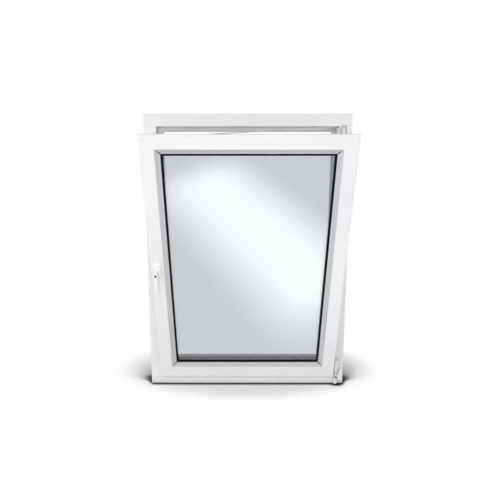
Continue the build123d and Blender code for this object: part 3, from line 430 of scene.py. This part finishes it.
class WindowStage(bpy.types.PropertyGroup):
    """Camera, lamps and floor."""

    camera_place: bpy.props.FloatVectorProperty(
        name="Camera", description="Where the camera stands", subtype="TRANSLATION", unit="LENGTH",
        default=(-0.0295, -1.8723, 1.1526))
    camera_pitch: bpy.props.FloatProperty(
        name="Pitch", description="How far the camera looks down", subtype="ANGLE",
        default=math.radians(8.59))
    focal_pixels: bpy.props.FloatProperty(
        name="Focal length", description="Focal length in image pixels", subtype="PIXEL", default=420.4)
    centre_pixel: bpy.props.FloatVectorProperty(
        name="Optical centre", description="Pixel that the lens axis meets", subtype="COORDINATES", size=2,
        default=(240.9, 200.0))
    lamp_target: bpy.props.FloatVectorProperty(
        name="Lamp target", description="Point that all lamps face", subtype="TRANSLATION", unit="LENGTH",
        default=(0.0, 0.0, 0.7))
    key_place: bpy.props.FloatVectorProperty(
        name="Key place", description="Where the right high lamp stands, mirrored by the left one",
        subtype="TRANSLATION", unit="LENGTH", default=(2.2, -3.2, 3.8))
    key_size: bpy.props.FloatProperty(
        name="Key size", description="Width of a high lamp", unit="LENGTH", default=0.6)
    key_power: bpy.props.FloatProperty(
        name="Key power", description="Mean power of the two high lamps in watts", unit="POWER",
        default=47.0)
    key_balance: bpy.props.FloatProperty(
        name="Key balance", description="Share by which the left high lamp is stronger", subtype="FACTOR",
        default=0.5, min=0.0, max=1.0)
    fill_power: bpy.props.FloatProperty(
        name="Fill power", description="Power of the lamp behind the camera in watts", unit="POWER",
        default=34.0)
    fill_place: bpy.props.FloatVectorProperty(
        name="Fill place", description="Where the lamp behind the camera stands", subtype="TRANSLATION",
        unit="LENGTH", default=(0.0, -3.4, 1.5))
    fill_size: bpy.props.FloatProperty(
        name="Fill size", description="Width of the lamp behind the camera", unit="LENGTH", default=0.9)
    back_power: bpy.props.FloatProperty(
        name="Back power", description="Power of the lamp behind the window in watts", unit="POWER",
        default=48.0)
    back_place: bpy.props.FloatVectorProperty(
        name="Back place", description="Where the lamp behind the window stands", subtype="TRANSLATION",
        unit="LENGTH", default=(0.0, 3.4, 2.2))
    back_size: bpy.props.FloatProperty(
        name="Back size", description="Width of the lamp behind the window", unit="LENGTH", default=1.6)
    sky_strength: bpy.props.FloatProperty(
        name="Sky strength", description="Soft light from all round", subtype="FACTOR", default=0.28,
        min=0.0, max=1.0)
    floor_colour: bpy.props.FloatVectorProperty(
        name="Floor", description="Pale colour of the floor", subtype="COLOR", default=(0.95, 0.95, 0.95),
        min=0.0, max=1.0)
    floor_near: bpy.props.FloatProperty(
        name="Floor near", description="Radius inside which the floor keeps its shadow", unit="LENGTH",
        default=0.46)
    floor_far: bpy.props.FloatProperty(
        name="Floor far", description="Radius beyond which the floor is white", unit="LENGTH", default=0.7)
    floor_squash: bpy.props.FloatProperty(
        name="Floor squash", description="How much sooner the floor turns white in front and behind",
        subtype="FACTOR", default=2.4, min=1.0, max=4.0)
    floor_shift: bpy.props.FloatProperty(
        name="Floor shift", description="How far behind the window the floor's shadowed patch is centred",
        unit="LENGTH", default=0.1)
    contact_reach: bpy.props.FloatVectorProperty(
        name="Contact reach", description="Reach of the contact shadow in front of and behind the window",
        size=2, unit="LENGTH", default=(0.026, 0.18))
    contact_open: bpy.props.FloatVectorProperty(
        name="Contact openness", description="Openness at which the contact shadow is darkest and ends",
        subtype="COORDINATES", size=2, default=(0.68, 1.0), min=0.0, max=1.0)
    contact_colour: bpy.props.FloatVectorProperty(
        name="Contact", description="Darkest colour of the contact shadow", subtype="COLOR",
        default=(0.05, 0.05, 0.05), min=0.0, max=1.0)
    card_strength: bpy.props.FloatProperty(
        name="Card strength", description="Brightness of the card that the glass mirrors",
        subtype="UNSIGNED", default=4.2, min=0.0)
    card_place: bpy.props.FloatVectorProperty(
        name="Card place", description="Middle of the card on the floor", subtype="TRANSLATION",
        unit="LENGTH", default=(0.067, -1.094, 0.004))
    card_turn: bpy.props.FloatProperty(
        name="Card turn", description="Turn of the card on the floor", subtype="ANGLE",
        default=math.radians(54.0))
    card_core: bpy.props.FloatVectorProperty(
        name="Card core", description="Half length and half width of the card's bright middle", size=2,
        unit="LENGTH", default=(0.56, 0.07))
    card_edge: bpy.props.FloatVectorProperty(
        name="Card edge", description="Half length and half width at which the card fades out", size=2,
        unit="LENGTH", default=(1.01, 0.56))


# Finishes of the CAD pieces


class WINDOW_OT_profile_finish(bpy.types.Operator):
    """Finishes the extruded frame and sash members"""

    bl_idname = "window.profile_finish"
    bl_label = "Profile finish"

    def execute(self, context):
        finish = context.scene.window_finish
        colour = tuple(finish.profile_colour)
        runs = (("profile_across", ACROSS_NODES, 0), ("profile_upright", UPRIGHT_NODES, 2))
        for name, nodes, axis in runs:
            material = extruded_plastic(name, colour, finish.profile_roughness, axis)
            paint([frame["nodes"][node] for node in nodes], material)
        return {"FINISHED"}


class WINDOW_OT_glazing_finish(bpy.types.Operator):
    """Finishes the beads, gaskets, seals, panes and spacer"""

    bl_idname = "window.glazing_finish"
    bl_label = "Glazing finish"

    def execute(self, context):
        finish = context.scene.window_finish
        # Painted shade: the beads take a darker, bluer copy of the profiles' white for the shade on their
        # slopes.
        shaded_bead_colour = tuple(finish.bead_shaded_colour)
        gloss = finish.profile_roughness
        for name, nodes, axis in (
            ("shaded_bead_across", ("bead_top", "bead_bottom"), 0),
            ("shaded_bead_upright", ("bead_left", "bead_right"), 2),
        ):
            paint([frame["nodes"][node] for node in nodes], extruded_plastic(name, shaded_bead_colour, gloss, axis))
        paint(nodes_with_slot("gasket_black"),
              rubber("gasket", tuple(finish.gasket_colour), roughness=0.7, specular=0.08))
        paint(nodes_with_slot("seal_grey"),
              rubber("seal", tuple(finish.seal_colour), roughness=0.6, specular=0.3))
        paint(nodes_with_slot("glass_clear"), window_glass("float_glass", tuple(finish.glass_colour)))
        paint(nodes_with_slot("spacer_grey"),
              moulded_plastic("spacer_bar", tuple(finish.spacer_colour), roughness=0.5))
        return {"FINISHED"}


class WINDOW_OT_fitting_finish(bpy.types.Operator):
    """Finishes the plated fittings, the plastic pieces and the hinge covers"""

    bl_idname = "window.fitting_finish"
    bl_label = "Fitting finish"

    def execute(self, context):
        finish = context.scene.window_finish
        paint(nodes_with_slot("zinc_steel"),
              plated_metal("zinc_plate", tuple(finish.zinc_colour), roughness=0.34))
        paint(nodes_with_slot("galvanised"),
              plated_metal("galvanised_sheet", tuple(finish.sheet_colour), roughness=0.45))
        paint(nodes_with_slot("strike_zinc"),
              plated_metal("strike_casting", tuple(finish.strike_colour), roughness=0.38,
                           grain=(1.0, 1.0, 1.0)))
        paint(nodes_with_slot("keeper_dark"),
              plated_metal("dark_plate", tuple(finish.keeper_colour), roughness=0.36))
        paint(nodes_with_slot("plastic_black"),
              moulded_plastic("black_moulding", tuple(finish.black_colour), roughness=0.5))
        paint(nodes_with_slot("plastic_grey"),
              moulded_plastic("grey_moulding", tuple(finish.grey_colour), roughness=0.5))
        paint(nodes_with_slot("cover_white"),
              moulded_plastic("cover_moulding", tuple(finish.cover_colour), roughness=0.38))
        return {"FINISHED"}


class WINDOW_OT_handle_finish(bpy.types.Operator):
    """Finishes the handle, its base and the key barrel"""

    bl_idname = "window.handle_finish"
    bl_label = "Handle finish"

    def execute(self, context):
        finish = context.scene.window_finish
        paint(nodes_with_slot("handle_white"),
              moulded_plastic("handle_coat", tuple(finish.handle_colour), roughness=0.3, grain=1400.0,
                              relief=0.1))
        paint(nodes_with_slot("lock_dark"),
              plated_metal("dark_nickel", tuple(finish.lock_colour), roughness=0.3))
        return {"FINISHED"}


# Small fixings


def added(form, before):
    """The vertices of a bmesh that were not there before."""
    return [vertex for vertex in form.verts if vertex not in before]


def new_piece(name, form, body, material, place=AS_DRAWN):
    """Turns a bmesh into a piece that rides on a body."""
    bmesh.ops.transform(form, matrix=place, verts=form.verts)
    bmesh.ops.recalc_face_normals(form, faces=form.faces)
    mesh = bpy.data.meshes.new(name)
    form.to_mesh(mesh)
    form.free()
    mesh.materials.append(material)
    piece = bpy.data.objects.new(name, mesh)
    bpy.context.scene.collection.objects.link(piece)
    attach(piece, body)


def screw_head(form, place, facing, radius, height):
    """A low screw head with a six-lobed recess, half sunk into the plate under it."""
    before = set(form.verts)
    bmesh.ops.create_cone(form, cap_ends=True, segments=SCREW_SEGMENTS, radius1=radius,
                          radius2=radius * SCREW_TAPER, depth=2.0 * height)
    faces = {face for vertex in added(form, before) for face in vertex.link_faces}
    top = max(faces, key=lambda face: face.calc_center_median().z)
    bmesh.ops.inset_individual(form, faces=[top], thickness=radius * RECESS_RIM)
    lobes = [vertex for number, vertex in enumerate(top.verts) if number % 4 < 2]
    bmesh.ops.scale(form, vec=(LOBE_WAIST, LOBE_WAIST, 1.0), verts=lobes)
    bmesh.ops.inset_individual(form, faces=[top], thickness=radius * RECESS_WALL,
                               depth=-height * RECESS_DEPTH)
    turn = facing.to_track_quat("Z", "Y").to_matrix().to_4x4()
    bmesh.ops.transform(form, matrix=Matrix.Translation(place) @ turn, verts=added(form, before))


def end_screws(box, inset, side, base=0.0):
    """Places and facings of a screw near each end of a strip, facing outwards or inwards."""
    low, high = box
    middle = (low + high) / 2
    run, face = (2, 0) if high.z - low.z > high.x - low.x else (0, 2)
    outer = 1.0 if middle[face] > CAD_MIDDLE[face] else -1.0
    facing = Vector()
    facing[face] = outer * side
    screws = []
    for end in (low[run] + inset, high[run] - inset):
        place = middle.copy()
        place[run] = end
        place[face] = (high[face] if outer > 0 else low[face]) + facing[face] * base
        screws.append((place, facing))
    return screws


def corner_legs(box):
    """The level and the upright leg of a corner drive as boxes, from the box of the whole angle."""
    low, high = box
    middle = (low + high) / 2
    level, upright = (low.copy(), high.copy()), (low.copy(), high.copy())
    level[0 if middle.z > CAD_MIDDLE.z else 1].z = middle.z
    upright[0 if middle.x > CAD_MIDDLE.x else 1].x = middle.x
    return level, upright


def gear_screws(plate, spacing):
    """Places and facings of the gear case's two screws, either side of the handle."""
    rose = closed_box("handle_rose")
    handle_level = (rose[0].z + rose[1].z) / 2
    depth = (plate[0].y + plate[1].y) / 2
    return [(Vector((plate[0].x, depth, handle_level + side * spacing / 2)), Vector((-1.0, 0.0, 0.0)))
            for side in (-1.0, 1.0)]


def band_screws(drive, sizes):
    """Places and facings of the corner band's screws, on its upright leaf."""
    depth = (drive[0].y + drive[1].y) / 2
    leaf = drive[1].x + sizes.band_leaf
    return [(Vector((leaf, depth, height)), Vector((1.0, 0.0, 0.0))) for height in sizes.band_holes]


def screw_form(screws, sizes):
    """A bmesh of screw heads at places and facings."""
    form = bmesh.new()
    for place, facing in screws:
        screw_head(form, place, facing, sizes.screw_radius, sizes.screw_height)
    return form


class WINDOW_OT_frame_screws(bpy.types.Operator):
    """Adds the screws of the strike plates and the keeper"""

    bl_idname = "window.frame_screws"
    bl_label = "Frame screws"

    def execute(self, context):
        sizes = context.scene.window_fixings
        screws = end_screws(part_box("tilt_keeper"), sizes.keeper_inset, INWARDS, sizes.strike_base)
        for box in solid_boxes("strike_plates", AS_DRAWN):
            screws += end_screws(box, sizes.eyelet_inset, INWARDS, sizes.strike_base)
        form = screw_form(screws, sizes)
        new_piece("frame_screws", form, "frame", material_of("stay_bearing_pin"))
        return {"FINISHED"}


class WINDOW_OT_sash_screws(bpy.types.Operator):
    """Adds the screws of the faceplates, stay guide, corner drives, corner band and sash lifter"""

    bl_idname = "window.sash_screws"
    bl_label = "Sash screws"

    def execute(self, context):
        sizes = context.scene.window_fixings
        back = sash_lean().inverted()
        plates = solid_boxes("faceplates", back) + solid_boxes("stay_guide", back)
        drives = solid_boxes("corner_drives", back)
        screws = end_screws(closed_box("sash_lifter"), sizes.lifter_inset, OUTWARDS)
        screws += gear_screws(min(plates, key=lambda box: box[1].x), sizes.gear_spacing)
        screws += band_screws(max(drives, key=lambda box: box[1].x), sizes)
        for box in plates:
            screws += end_screws(box, sizes.plate_inset, OUTWARDS)
        for box in drives:
            for leg in corner_legs(box):
                screws += end_screws(leg, sizes.drive_inset, OUTWARDS)
        form = screw_form(screws, sizes)
        new_piece("sash_screws", form, "sash", material_of("faceplates"), sash_lean())
        return {"FINISHED"}


def tapered_rib(form, start, end, widths, flatness):
    """A flat rib on a room-side surface that changes its width along its length."""
    before = set(form.verts)
    bmesh.ops.create_cone(form, cap_ends=True, segments=4, radius1=widths[0] / math.sqrt(2),
                          radius2=widths[1] / math.sqrt(2), depth=1.0)
    along = end - start
    side = along.cross(TO_ROOM).normalized()
    up = side.cross(along).normalized() * flatness
    turn = Matrix((side, up, along)).transposed().to_4x4()
    quarter = Matrix.Rotation(math.radians(45.0), 4, "Z")
    place = Matrix.Translation((start + end) / 2) @ turn @ quarter
    bmesh.ops.transform(form, matrix=place, verts=added(form, before))
    edges = {edge for vertex in added(form, before) for edge in vertex.link_edges}
    bmesh.ops.bevel(form, geom=list(edges), offset=widths[0] * flatness * RIB_ROUNDING,
                    offset_type="OFFSET", segments=2, profile=0.5, affect="EDGES", material=-1)


def corner_point(box, inset, level, corner):
    """Point on a corner's diagonal, inset from a box's corner along X and Z."""
    low, high = box
    x = high.x - inset if corner[0] > 0 else low.x + inset
    z = high.z - inset if corner[1] > 0 else low.z + inset
    return Vector((x, level, z))


class WINDOW_OT_mitre_shade_ribs(bpy.types.Operator):
    """Adds black ribs along the bead mitres, painted shade of the mitre joints in the gasket's black"""

    bl_idname = "window.gasket_folds"
    bl_label = "Mitre shade ribs"

    def execute(self, context):
        sizes = context.scene.window_fixings
        beads = closed_box("bead_left", "bead_right")
        left = closed_box("bead_left")
        cover = left[1].x - left[0].x
        slope = cover - sizes.bead_nose
        front = beads[0].y
        nose = front + sizes.bead_depth
        width = sizes.mitre_shade_width
        form = bmesh.new()
        # Each corner gets a black rib along the bead mitre, painted shade of the joint.
        for corner in CORNERS:
            tip = corner_point(beads, slope * MITRE_SHADE_TIP, front + sizes.bead_depth * MITRE_SHADE_TIP, corner)
            knee = corner_point(beads, slope, nose, corner)
            end = corner_point(beads, cover, nose, corner)
            tapered_rib(form, tip, knee, (width * MITRE_SHADE_TIP, width), MITRE_SHADE_FLATNESS)
            tapered_rib(form, knee, end, (width, width), MITRE_SHADE_FLATNESS)
        material = material_of("glazing_gasket_inner")
        new_piece("gasket_folds", form, "sash", material, sash_lean())
        return {"FINISHED"}


class WINDOW_OT_weld_seams(bpy.types.Operator):
    """Adds the fine weld seams at the corners of the frame and the sash"""

    bl_idname = "window.weld_seams"
    bl_label = "Weld seams"

    def execute(self, context):
        sizes = context.scene.window_fixings
        colour = shade(tuple(context.scene.window_finish.profile_colour), share=0.92)
        material = moulded_plastic("weld_seam", colour, roughness=0.45)
        outer = box_of([*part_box("frame_sill"), *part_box("frame_head")])
        frame_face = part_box("strike_plates")[0].x - outer[0].x
        sash = closed_box("sash_stile_left", "sash_stile_right")
        sash_face = closed_box("bead_left")[0].x - sash[0].x
        runs = (
            ("frame_seams", "frame", outer, frame_face, AS_DRAWN),
            ("sash_seams", "sash", sash, sash_face, sash_lean()),
        )
        for name, body, box, face, place in runs:
            form = bmesh.new()
            for corner in CORNERS:
                start = corner_point(box, sizes.edge_round, box[0].y, corner)
                end = corner_point(box, face - sizes.edge_round, box[0].y, corner)
                tapered_rib(form, start, end, (sizes.seam_width, sizes.seam_width), SEAM_FLATNESS)
            new_piece(name, form, body, material, place)
        return {"FINISHED"}


def drain_hood(form, place, size):
    """A hood with a raised rim, its back on the outdoor face."""
    depth = size[1]
    before = set(form.verts)
    bmesh.ops.create_cube(form, size=1.0)
    bmesh.ops.scale(form, vec=size, verts=added(form, before))
    bmesh.ops.translate(form, vec=place, verts=added(form, before))
    faces = {face for vertex in added(form, before) for face in vertex.link_faces}
    front = max(faces, key=lambda face: face.calc_center_median().y)
    bmesh.ops.bevel(form, geom=list(front.edges), offset=depth * HOOD_ROUNDING, offset_type="OFFSET",
                    segments=3, profile=0.5, affect="EDGES", material=-1)
    faces = {face for vertex in added(form, before) for face in vertex.link_faces}
    front = max(faces, key=lambda face: face.calc_center_median().y)
    bmesh.ops.inset_individual(form, faces=[front], thickness=depth * HOOD_RIM)
    bmesh.ops.inset_individual(form, faces=[front], thickness=depth * HOOD_WALL, depth=-depth * HOOD_DISH)


class WINDOW_OT_drain_caps(bpy.types.Operator):
    """Adds the caps over the drain slots on the outdoor side"""

    bl_idname = "window.drain_caps"
    bl_label = "Drain caps"

    def execute(self, context):
        sizes = context.scene.window_fixings
        low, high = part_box("frame_sill")
        depth = high.y + sizes.drain_cap[1] / 2
        form = bmesh.new()
        for side in (-1.0, 1.0):
            place = Vector((side * (high.x - low.x) / 4, depth, low.z + sizes.drain_level))
            drain_hood(form, place, sizes.drain_cap)
        new_piece("drain_caps", form, "frame", material_of("pivot_rest_cover"))
        return {"FINISHED"}


# Stage


def soft_lamp(name, place, size, power, target):
    """A square soft lamp that faces a point and isn't seen through the glass."""
    lamp = bpy.data.lights.new(name, "AREA")
    lamp.size = size
    lamp.energy = power
    lamp_object = bpy.data.objects.new(name, lamp)
    lamp_object.location = place
    direction = target - place
    lamp_object.rotation_euler = direction.to_track_quat("-Z", "Y").to_euler()
    lamp_object.visible_transmission = False
    bpy.context.scene.collection.objects.link(lamp_object)
    return lamp_object


def combine(tree, operation, first, second):
    """Two values put together by a Math node."""
    node = tree.nodes.new("ShaderNodeMath")
    node.operation = operation
    tree.links.new(first, node.inputs[0])
    tree.links.new(second, node.inputs[1])
    return node.outputs["Value"]


def seen_rays(tree, camera_share=None):
    """1 for glossy and transmission rays, 1 or a share for camera rays, else 0."""
    path = tree.nodes.new("ShaderNodeLightPath")
    mirrored = combine(tree, "MAXIMUM", path.outputs["Is Glossy Ray"], path.outputs["Is Transmission Ray"])
    direct = path.outputs["Is Camera Ray"]
    if camera_share is not None:
        direct = combine(tree, "MULTIPLY", direct, camera_share)
    return combine(tree, "MAXIMUM", mirrored, direct)


def white_sky(strength):
    """A world that looks white and lights softly."""
    world = bpy.data.worlds.new("white_sky")
    world.use_nodes = True
    tree = world.node_tree
    background = tree.nodes["Background"]
    background.inputs["Color"].default_value = (1.0, 1.0, 1.0, 1.0)
    level = tree.nodes.new("ShaderNodeMapRange")
    level.inputs["To Min"].default_value = strength
    level.inputs["To Max"].default_value = 1.0
    tree.links.new(seen_rays(tree), level.inputs["Value"])
    tree.links.new(level.outputs["Result"], background.inputs["Strength"])
    bpy.context.scene.world = world


def flat_sheet(name, half_width):
    """A square sheet of the stage."""
    mesh = bpy.data.meshes.new(name)
    form = bmesh.new()
    bmesh.ops.create_grid(form, x_segments=1, y_segments=1, size=half_width)
    form.to_mesh(mesh)
    form.free()
    sheet = bpy.data.objects.new(name, mesh)
    bpy.context.scene.collection.objects.link(sheet)
    return sheet


def smooth_range(tree, value, from_range, to_range):
    """A value carried smoothly from one range to another."""
    node = tree.nodes.new("ShaderNodeMapRange")
    node.interpolation_type = "SMOOTHSTEP"
    node.inputs["From Min"].default_value = from_range[0]
    node.inputs["From Max"].default_value = from_range[1]
    node.inputs["To Min"].default_value = to_range[0]
    node.inputs["To Max"].default_value = to_range[1]
    tree.links.new(value, node.inputs["Value"])
    return node.outputs["Result"]


def contact_shadow(tree, shader, place, settings):
    """Darkens a shader's colour close to the window, further behind than in front; gives 1 in the open."""
    parts = tree.nodes.new("ShaderNodeSeparateXYZ")
    tree.links.new(place, parts.inputs["Vector"])
    depths = [corner.y - settings.floor_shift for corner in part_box("frame_sill")]
    near = tree.nodes.new("ShaderNodeAmbientOcclusion")
    reach = smooth_range(tree, parts.outputs["Y"], depths, settings.contact_reach)
    tree.links.new(reach, near.inputs["Distance"])
    clear = smooth_range(tree, near.outputs["AO"], settings.contact_open, (0.0, 1.0))
    mix = tree.nodes.new("ShaderNodeMix")
    mix.data_type = "RGBA"
    tree.links.new(clear, mix.inputs["Factor"])
    mix.inputs["A"].default_value = (*settings.contact_colour, 1.0)
    mix.inputs["B"].default_value = shader.inputs["Base Color"].default_value
    tree.links.new(mix.outputs["Result"], shader.inputs["Base Color"])
    return clear


def pale_floor(settings):
    """A pale floor that keeps the window's shadow and turns white further away."""
    floor = flat_sheet("floor", FLOOR_HALF_WIDTH)
    floor.location = (0.0, settings.floor_shift, 0.0)
    material, shader = node_material("floor_white", settings.floor_colour, roughness=0.9, specular=0.0)
    tree = material.node_tree
    place = tree.nodes.new("ShaderNodeTexCoord")
    clear = contact_shadow(tree, shader, place.outputs["Object"], settings)
    squash = tree.nodes.new("ShaderNodeVectorMath")
    squash.operation = "MULTIPLY"
    squash.inputs[1].default_value = (1.0, settings.floor_squash, 1.0)
    tree.links.new(place.outputs["Object"], squash.inputs[0])
    distance = tree.nodes.new("ShaderNodeVectorMath")
    distance.operation = "LENGTH"
    tree.links.new(squash.outputs["Vector"], distance.inputs[0])
    near_far = (settings.floor_near, settings.floor_far)
    far = smooth_range(tree, distance.outputs["Value"], near_far, (0.0, 1.0))
    whiteness = combine(tree, "MULTIPLY", far, clear)
    white = tree.nodes.new("ShaderNodeEmission")
    mix = tree.nodes.new("ShaderNodeMixShader")
    tree.links.new(seen_rays(tree, whiteness), mix.inputs["Fac"])
    tree.links.new(shader.outputs["BSDF"], mix.inputs[1])
    tree.links.new(white.outputs["Emission"], mix.inputs[2])
    tree.links.new(mix.outputs["Shader"], tree.nodes["Material Output"].inputs["Surface"])
    floor.data.materials.append(material)


def fade(tree, value, core, edge):
    """1 within a distance from zero on both sides, 0 beyond another."""
    size = tree.nodes.new("ShaderNodeMath")
    size.operation = "ABSOLUTE"
    tree.links.new(value, size.inputs[0])
    return smooth_range(tree, size.outputs["Value"], (core, edge), (1.0, 0.0))


def glow_strip(settings):
    """A material that glows in its sheet's middle for mirrored rays and is clear elsewhere."""
    material = bpy.data.materials.new("glow_strip")
    material.use_nodes = True
    tree = material.node_tree
    tree.nodes.remove(tree.nodes["Principled BSDF"])
    place = tree.nodes.new("ShaderNodeTexCoord")
    parts = tree.nodes.new("ShaderNodeSeparateXYZ")
    tree.links.new(place.outputs["Object"], parts.inputs["Vector"])
    along = fade(tree, parts.outputs["X"], settings.card_core[0], settings.card_edge[0])
    across = fade(tree, parts.outputs["Y"], settings.card_core[1], settings.card_edge[1])
    path = tree.nodes.new("ShaderNodeLightPath")
    middle = combine(tree, "MULTIPLY", along, across)
    glow = tree.nodes.new("ShaderNodeEmission")
    glow.inputs["Strength"].default_value = settings.card_strength
    clear = tree.nodes.new("ShaderNodeBsdfTransparent")
    mix = tree.nodes.new("ShaderNodeMixShader")
    tree.links.new(combine(tree, "MULTIPLY", middle, path.outputs["Glossy Depth"]), mix.inputs["Fac"])
    tree.links.new(clear.outputs["BSDF"], mix.inputs[1])
    tree.links.new(glow.outputs["Emission"], mix.inputs[2])
    tree.links.new(mix.outputs["Shader"], tree.nodes["Material Output"].inputs["Surface"])
    return material


def mirror_card(settings):
    """A bright strip on the floor that only the glass and other shiny surfaces show."""
    card = flat_sheet("mirror_card", settings.card_edge[0])
    card.location = settings.card_place
    card.rotation_euler = (0.0, 0.0, settings.card_turn)
    card.visible_camera = False
    card.visible_diffuse = False
    card.visible_shadow = False
    card.data.materials.append(glow_strip(settings))


def window_camera(settings):
    """The photograph's viewpoint."""
    data = bpy.data.cameras.new("camera")
    data.sensor_width = SENSOR_WIDTH
    data.lens = settings.focal_pixels * SENSOR_WIDTH / IMAGE_PIXELS
    data.shift_x = 0.5 - settings.centre_pixel[0] / IMAGE_PIXELS
    data.shift_y = settings.centre_pixel[1] / IMAGE_PIXELS - 0.5
    camera = bpy.data.objects.new("camera", data)
    camera.location = settings.camera_place
    camera.rotation_euler = (math.radians(90.0) - settings.camera_pitch, 0.0, 0.0)
    bpy.context.scene.collection.objects.link(camera)
    bpy.context.scene.camera = camera


def lamps(settings):
    """Two high lamps in front, and a fill lamp on each side that no mirroring surface shows."""
    target = settings.lamp_target
    right_place = settings.key_place
    left_place = right_place * Vector((-1.0, 1.0, 1.0))
    right_power, left_power = around(settings.key_power, settings.key_balance)
    soft_lamp("key_left", left_place, settings.key_size, left_power, target)
    soft_lamp("key_right", right_place, settings.key_size, right_power, target)
    front = soft_lamp("front_fill", settings.fill_place, settings.fill_size, settings.fill_power, target)
    back = soft_lamp("back_fill", settings.back_place, settings.back_size, settings.back_power, target)
    for fill in (front, back):
        fill.visible_glossy = False


class WINDOW_OT_stage(bpy.types.Operator):
    """Adds the camera, the lamps, the white sky, the floor and the card that the glass mirrors"""

    bl_idname = "window.stage"
    bl_label = "Stage"

    def execute(self, context):
        settings = context.scene.window_stage
        context.scene.view_settings.view_transform = "Standard"
        window_camera(settings)
        white_sky(settings.sky_strength)
        pale_floor(settings)
        mirror_card(settings)
        lamps(settings)
        return {"FINISHED"}


class WINDOW_PT_panel(bpy.types.Panel):
    """Lists the window's operators and settings"""

    bl_idname = "WINDOW_PT_panel"
    bl_label = "Tilt and Turn Window"
    bl_space_type = "VIEW_3D"
    bl_region_type = "UI"
    bl_category = "Window"

    def draw(self, context):
        for operator in OPERATORS:
            self.layout.operator(operator.bl_idname)
        scene = context.scene
        for group in (scene.window_finish, scene.window_fixings, scene.window_stage):
            box = self.layout.box()
            for name in group.bl_rna.properties.keys():
                if name not in ("rna_type", "name"):
                    box.prop(group, name)


SETTINGS = (WindowFinish, WindowFixings, WindowStage)
OPERATORS = (
    WINDOW_OT_profile_finish,
    WINDOW_OT_glazing_finish,
    WINDOW_OT_fitting_finish,
    WINDOW_OT_handle_finish,
    WINDOW_OT_frame_screws,
    WINDOW_OT_sash_screws,
    WINDOW_OT_mitre_shade_ribs,
    WINDOW_OT_weld_seams,
    WINDOW_OT_drain_caps,
    WINDOW_OT_stage,
)
CLASSES = (*SETTINGS, *OPERATORS, WINDOW_PT_panel)


def register():
    """Registers the classes and hangs the settings on the scene."""
    for cls in CLASSES:
        bpy.utils.register_class(cls)
    bpy.types.Scene.window_finish = bpy.props.PointerProperty(type=WindowFinish)
    bpy.types.Scene.window_fixings = bpy.props.PointerProperty(type=WindowFixings)
    bpy.types.Scene.window_stage = bpy.props.PointerProperty(type=WindowStage)


def unregister():
    """Takes the settings and the classes away again."""
    del bpy.types.Scene.window_stage
    del bpy.types.Scene.window_fixings
    del bpy.types.Scene.window_finish
    for cls in reversed(CLASSES):
        bpy.utils.unregister_class(cls)


def main():
    """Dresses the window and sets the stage."""
    register()
    bpy.ops.window.profile_finish()
    bpy.ops.window.glazing_finish()
    bpy.ops.window.fitting_finish()
    bpy.ops.window.handle_finish()
    bpy.ops.window.frame_screws()
    bpy.ops.window.sash_screws()
    bpy.ops.window.gasket_folds()
    bpy.ops.window.weld_seams()
    bpy.ops.window.drain_caps()
    bpy.ops.window.stage()


if __name__ == "__main__":
    main()
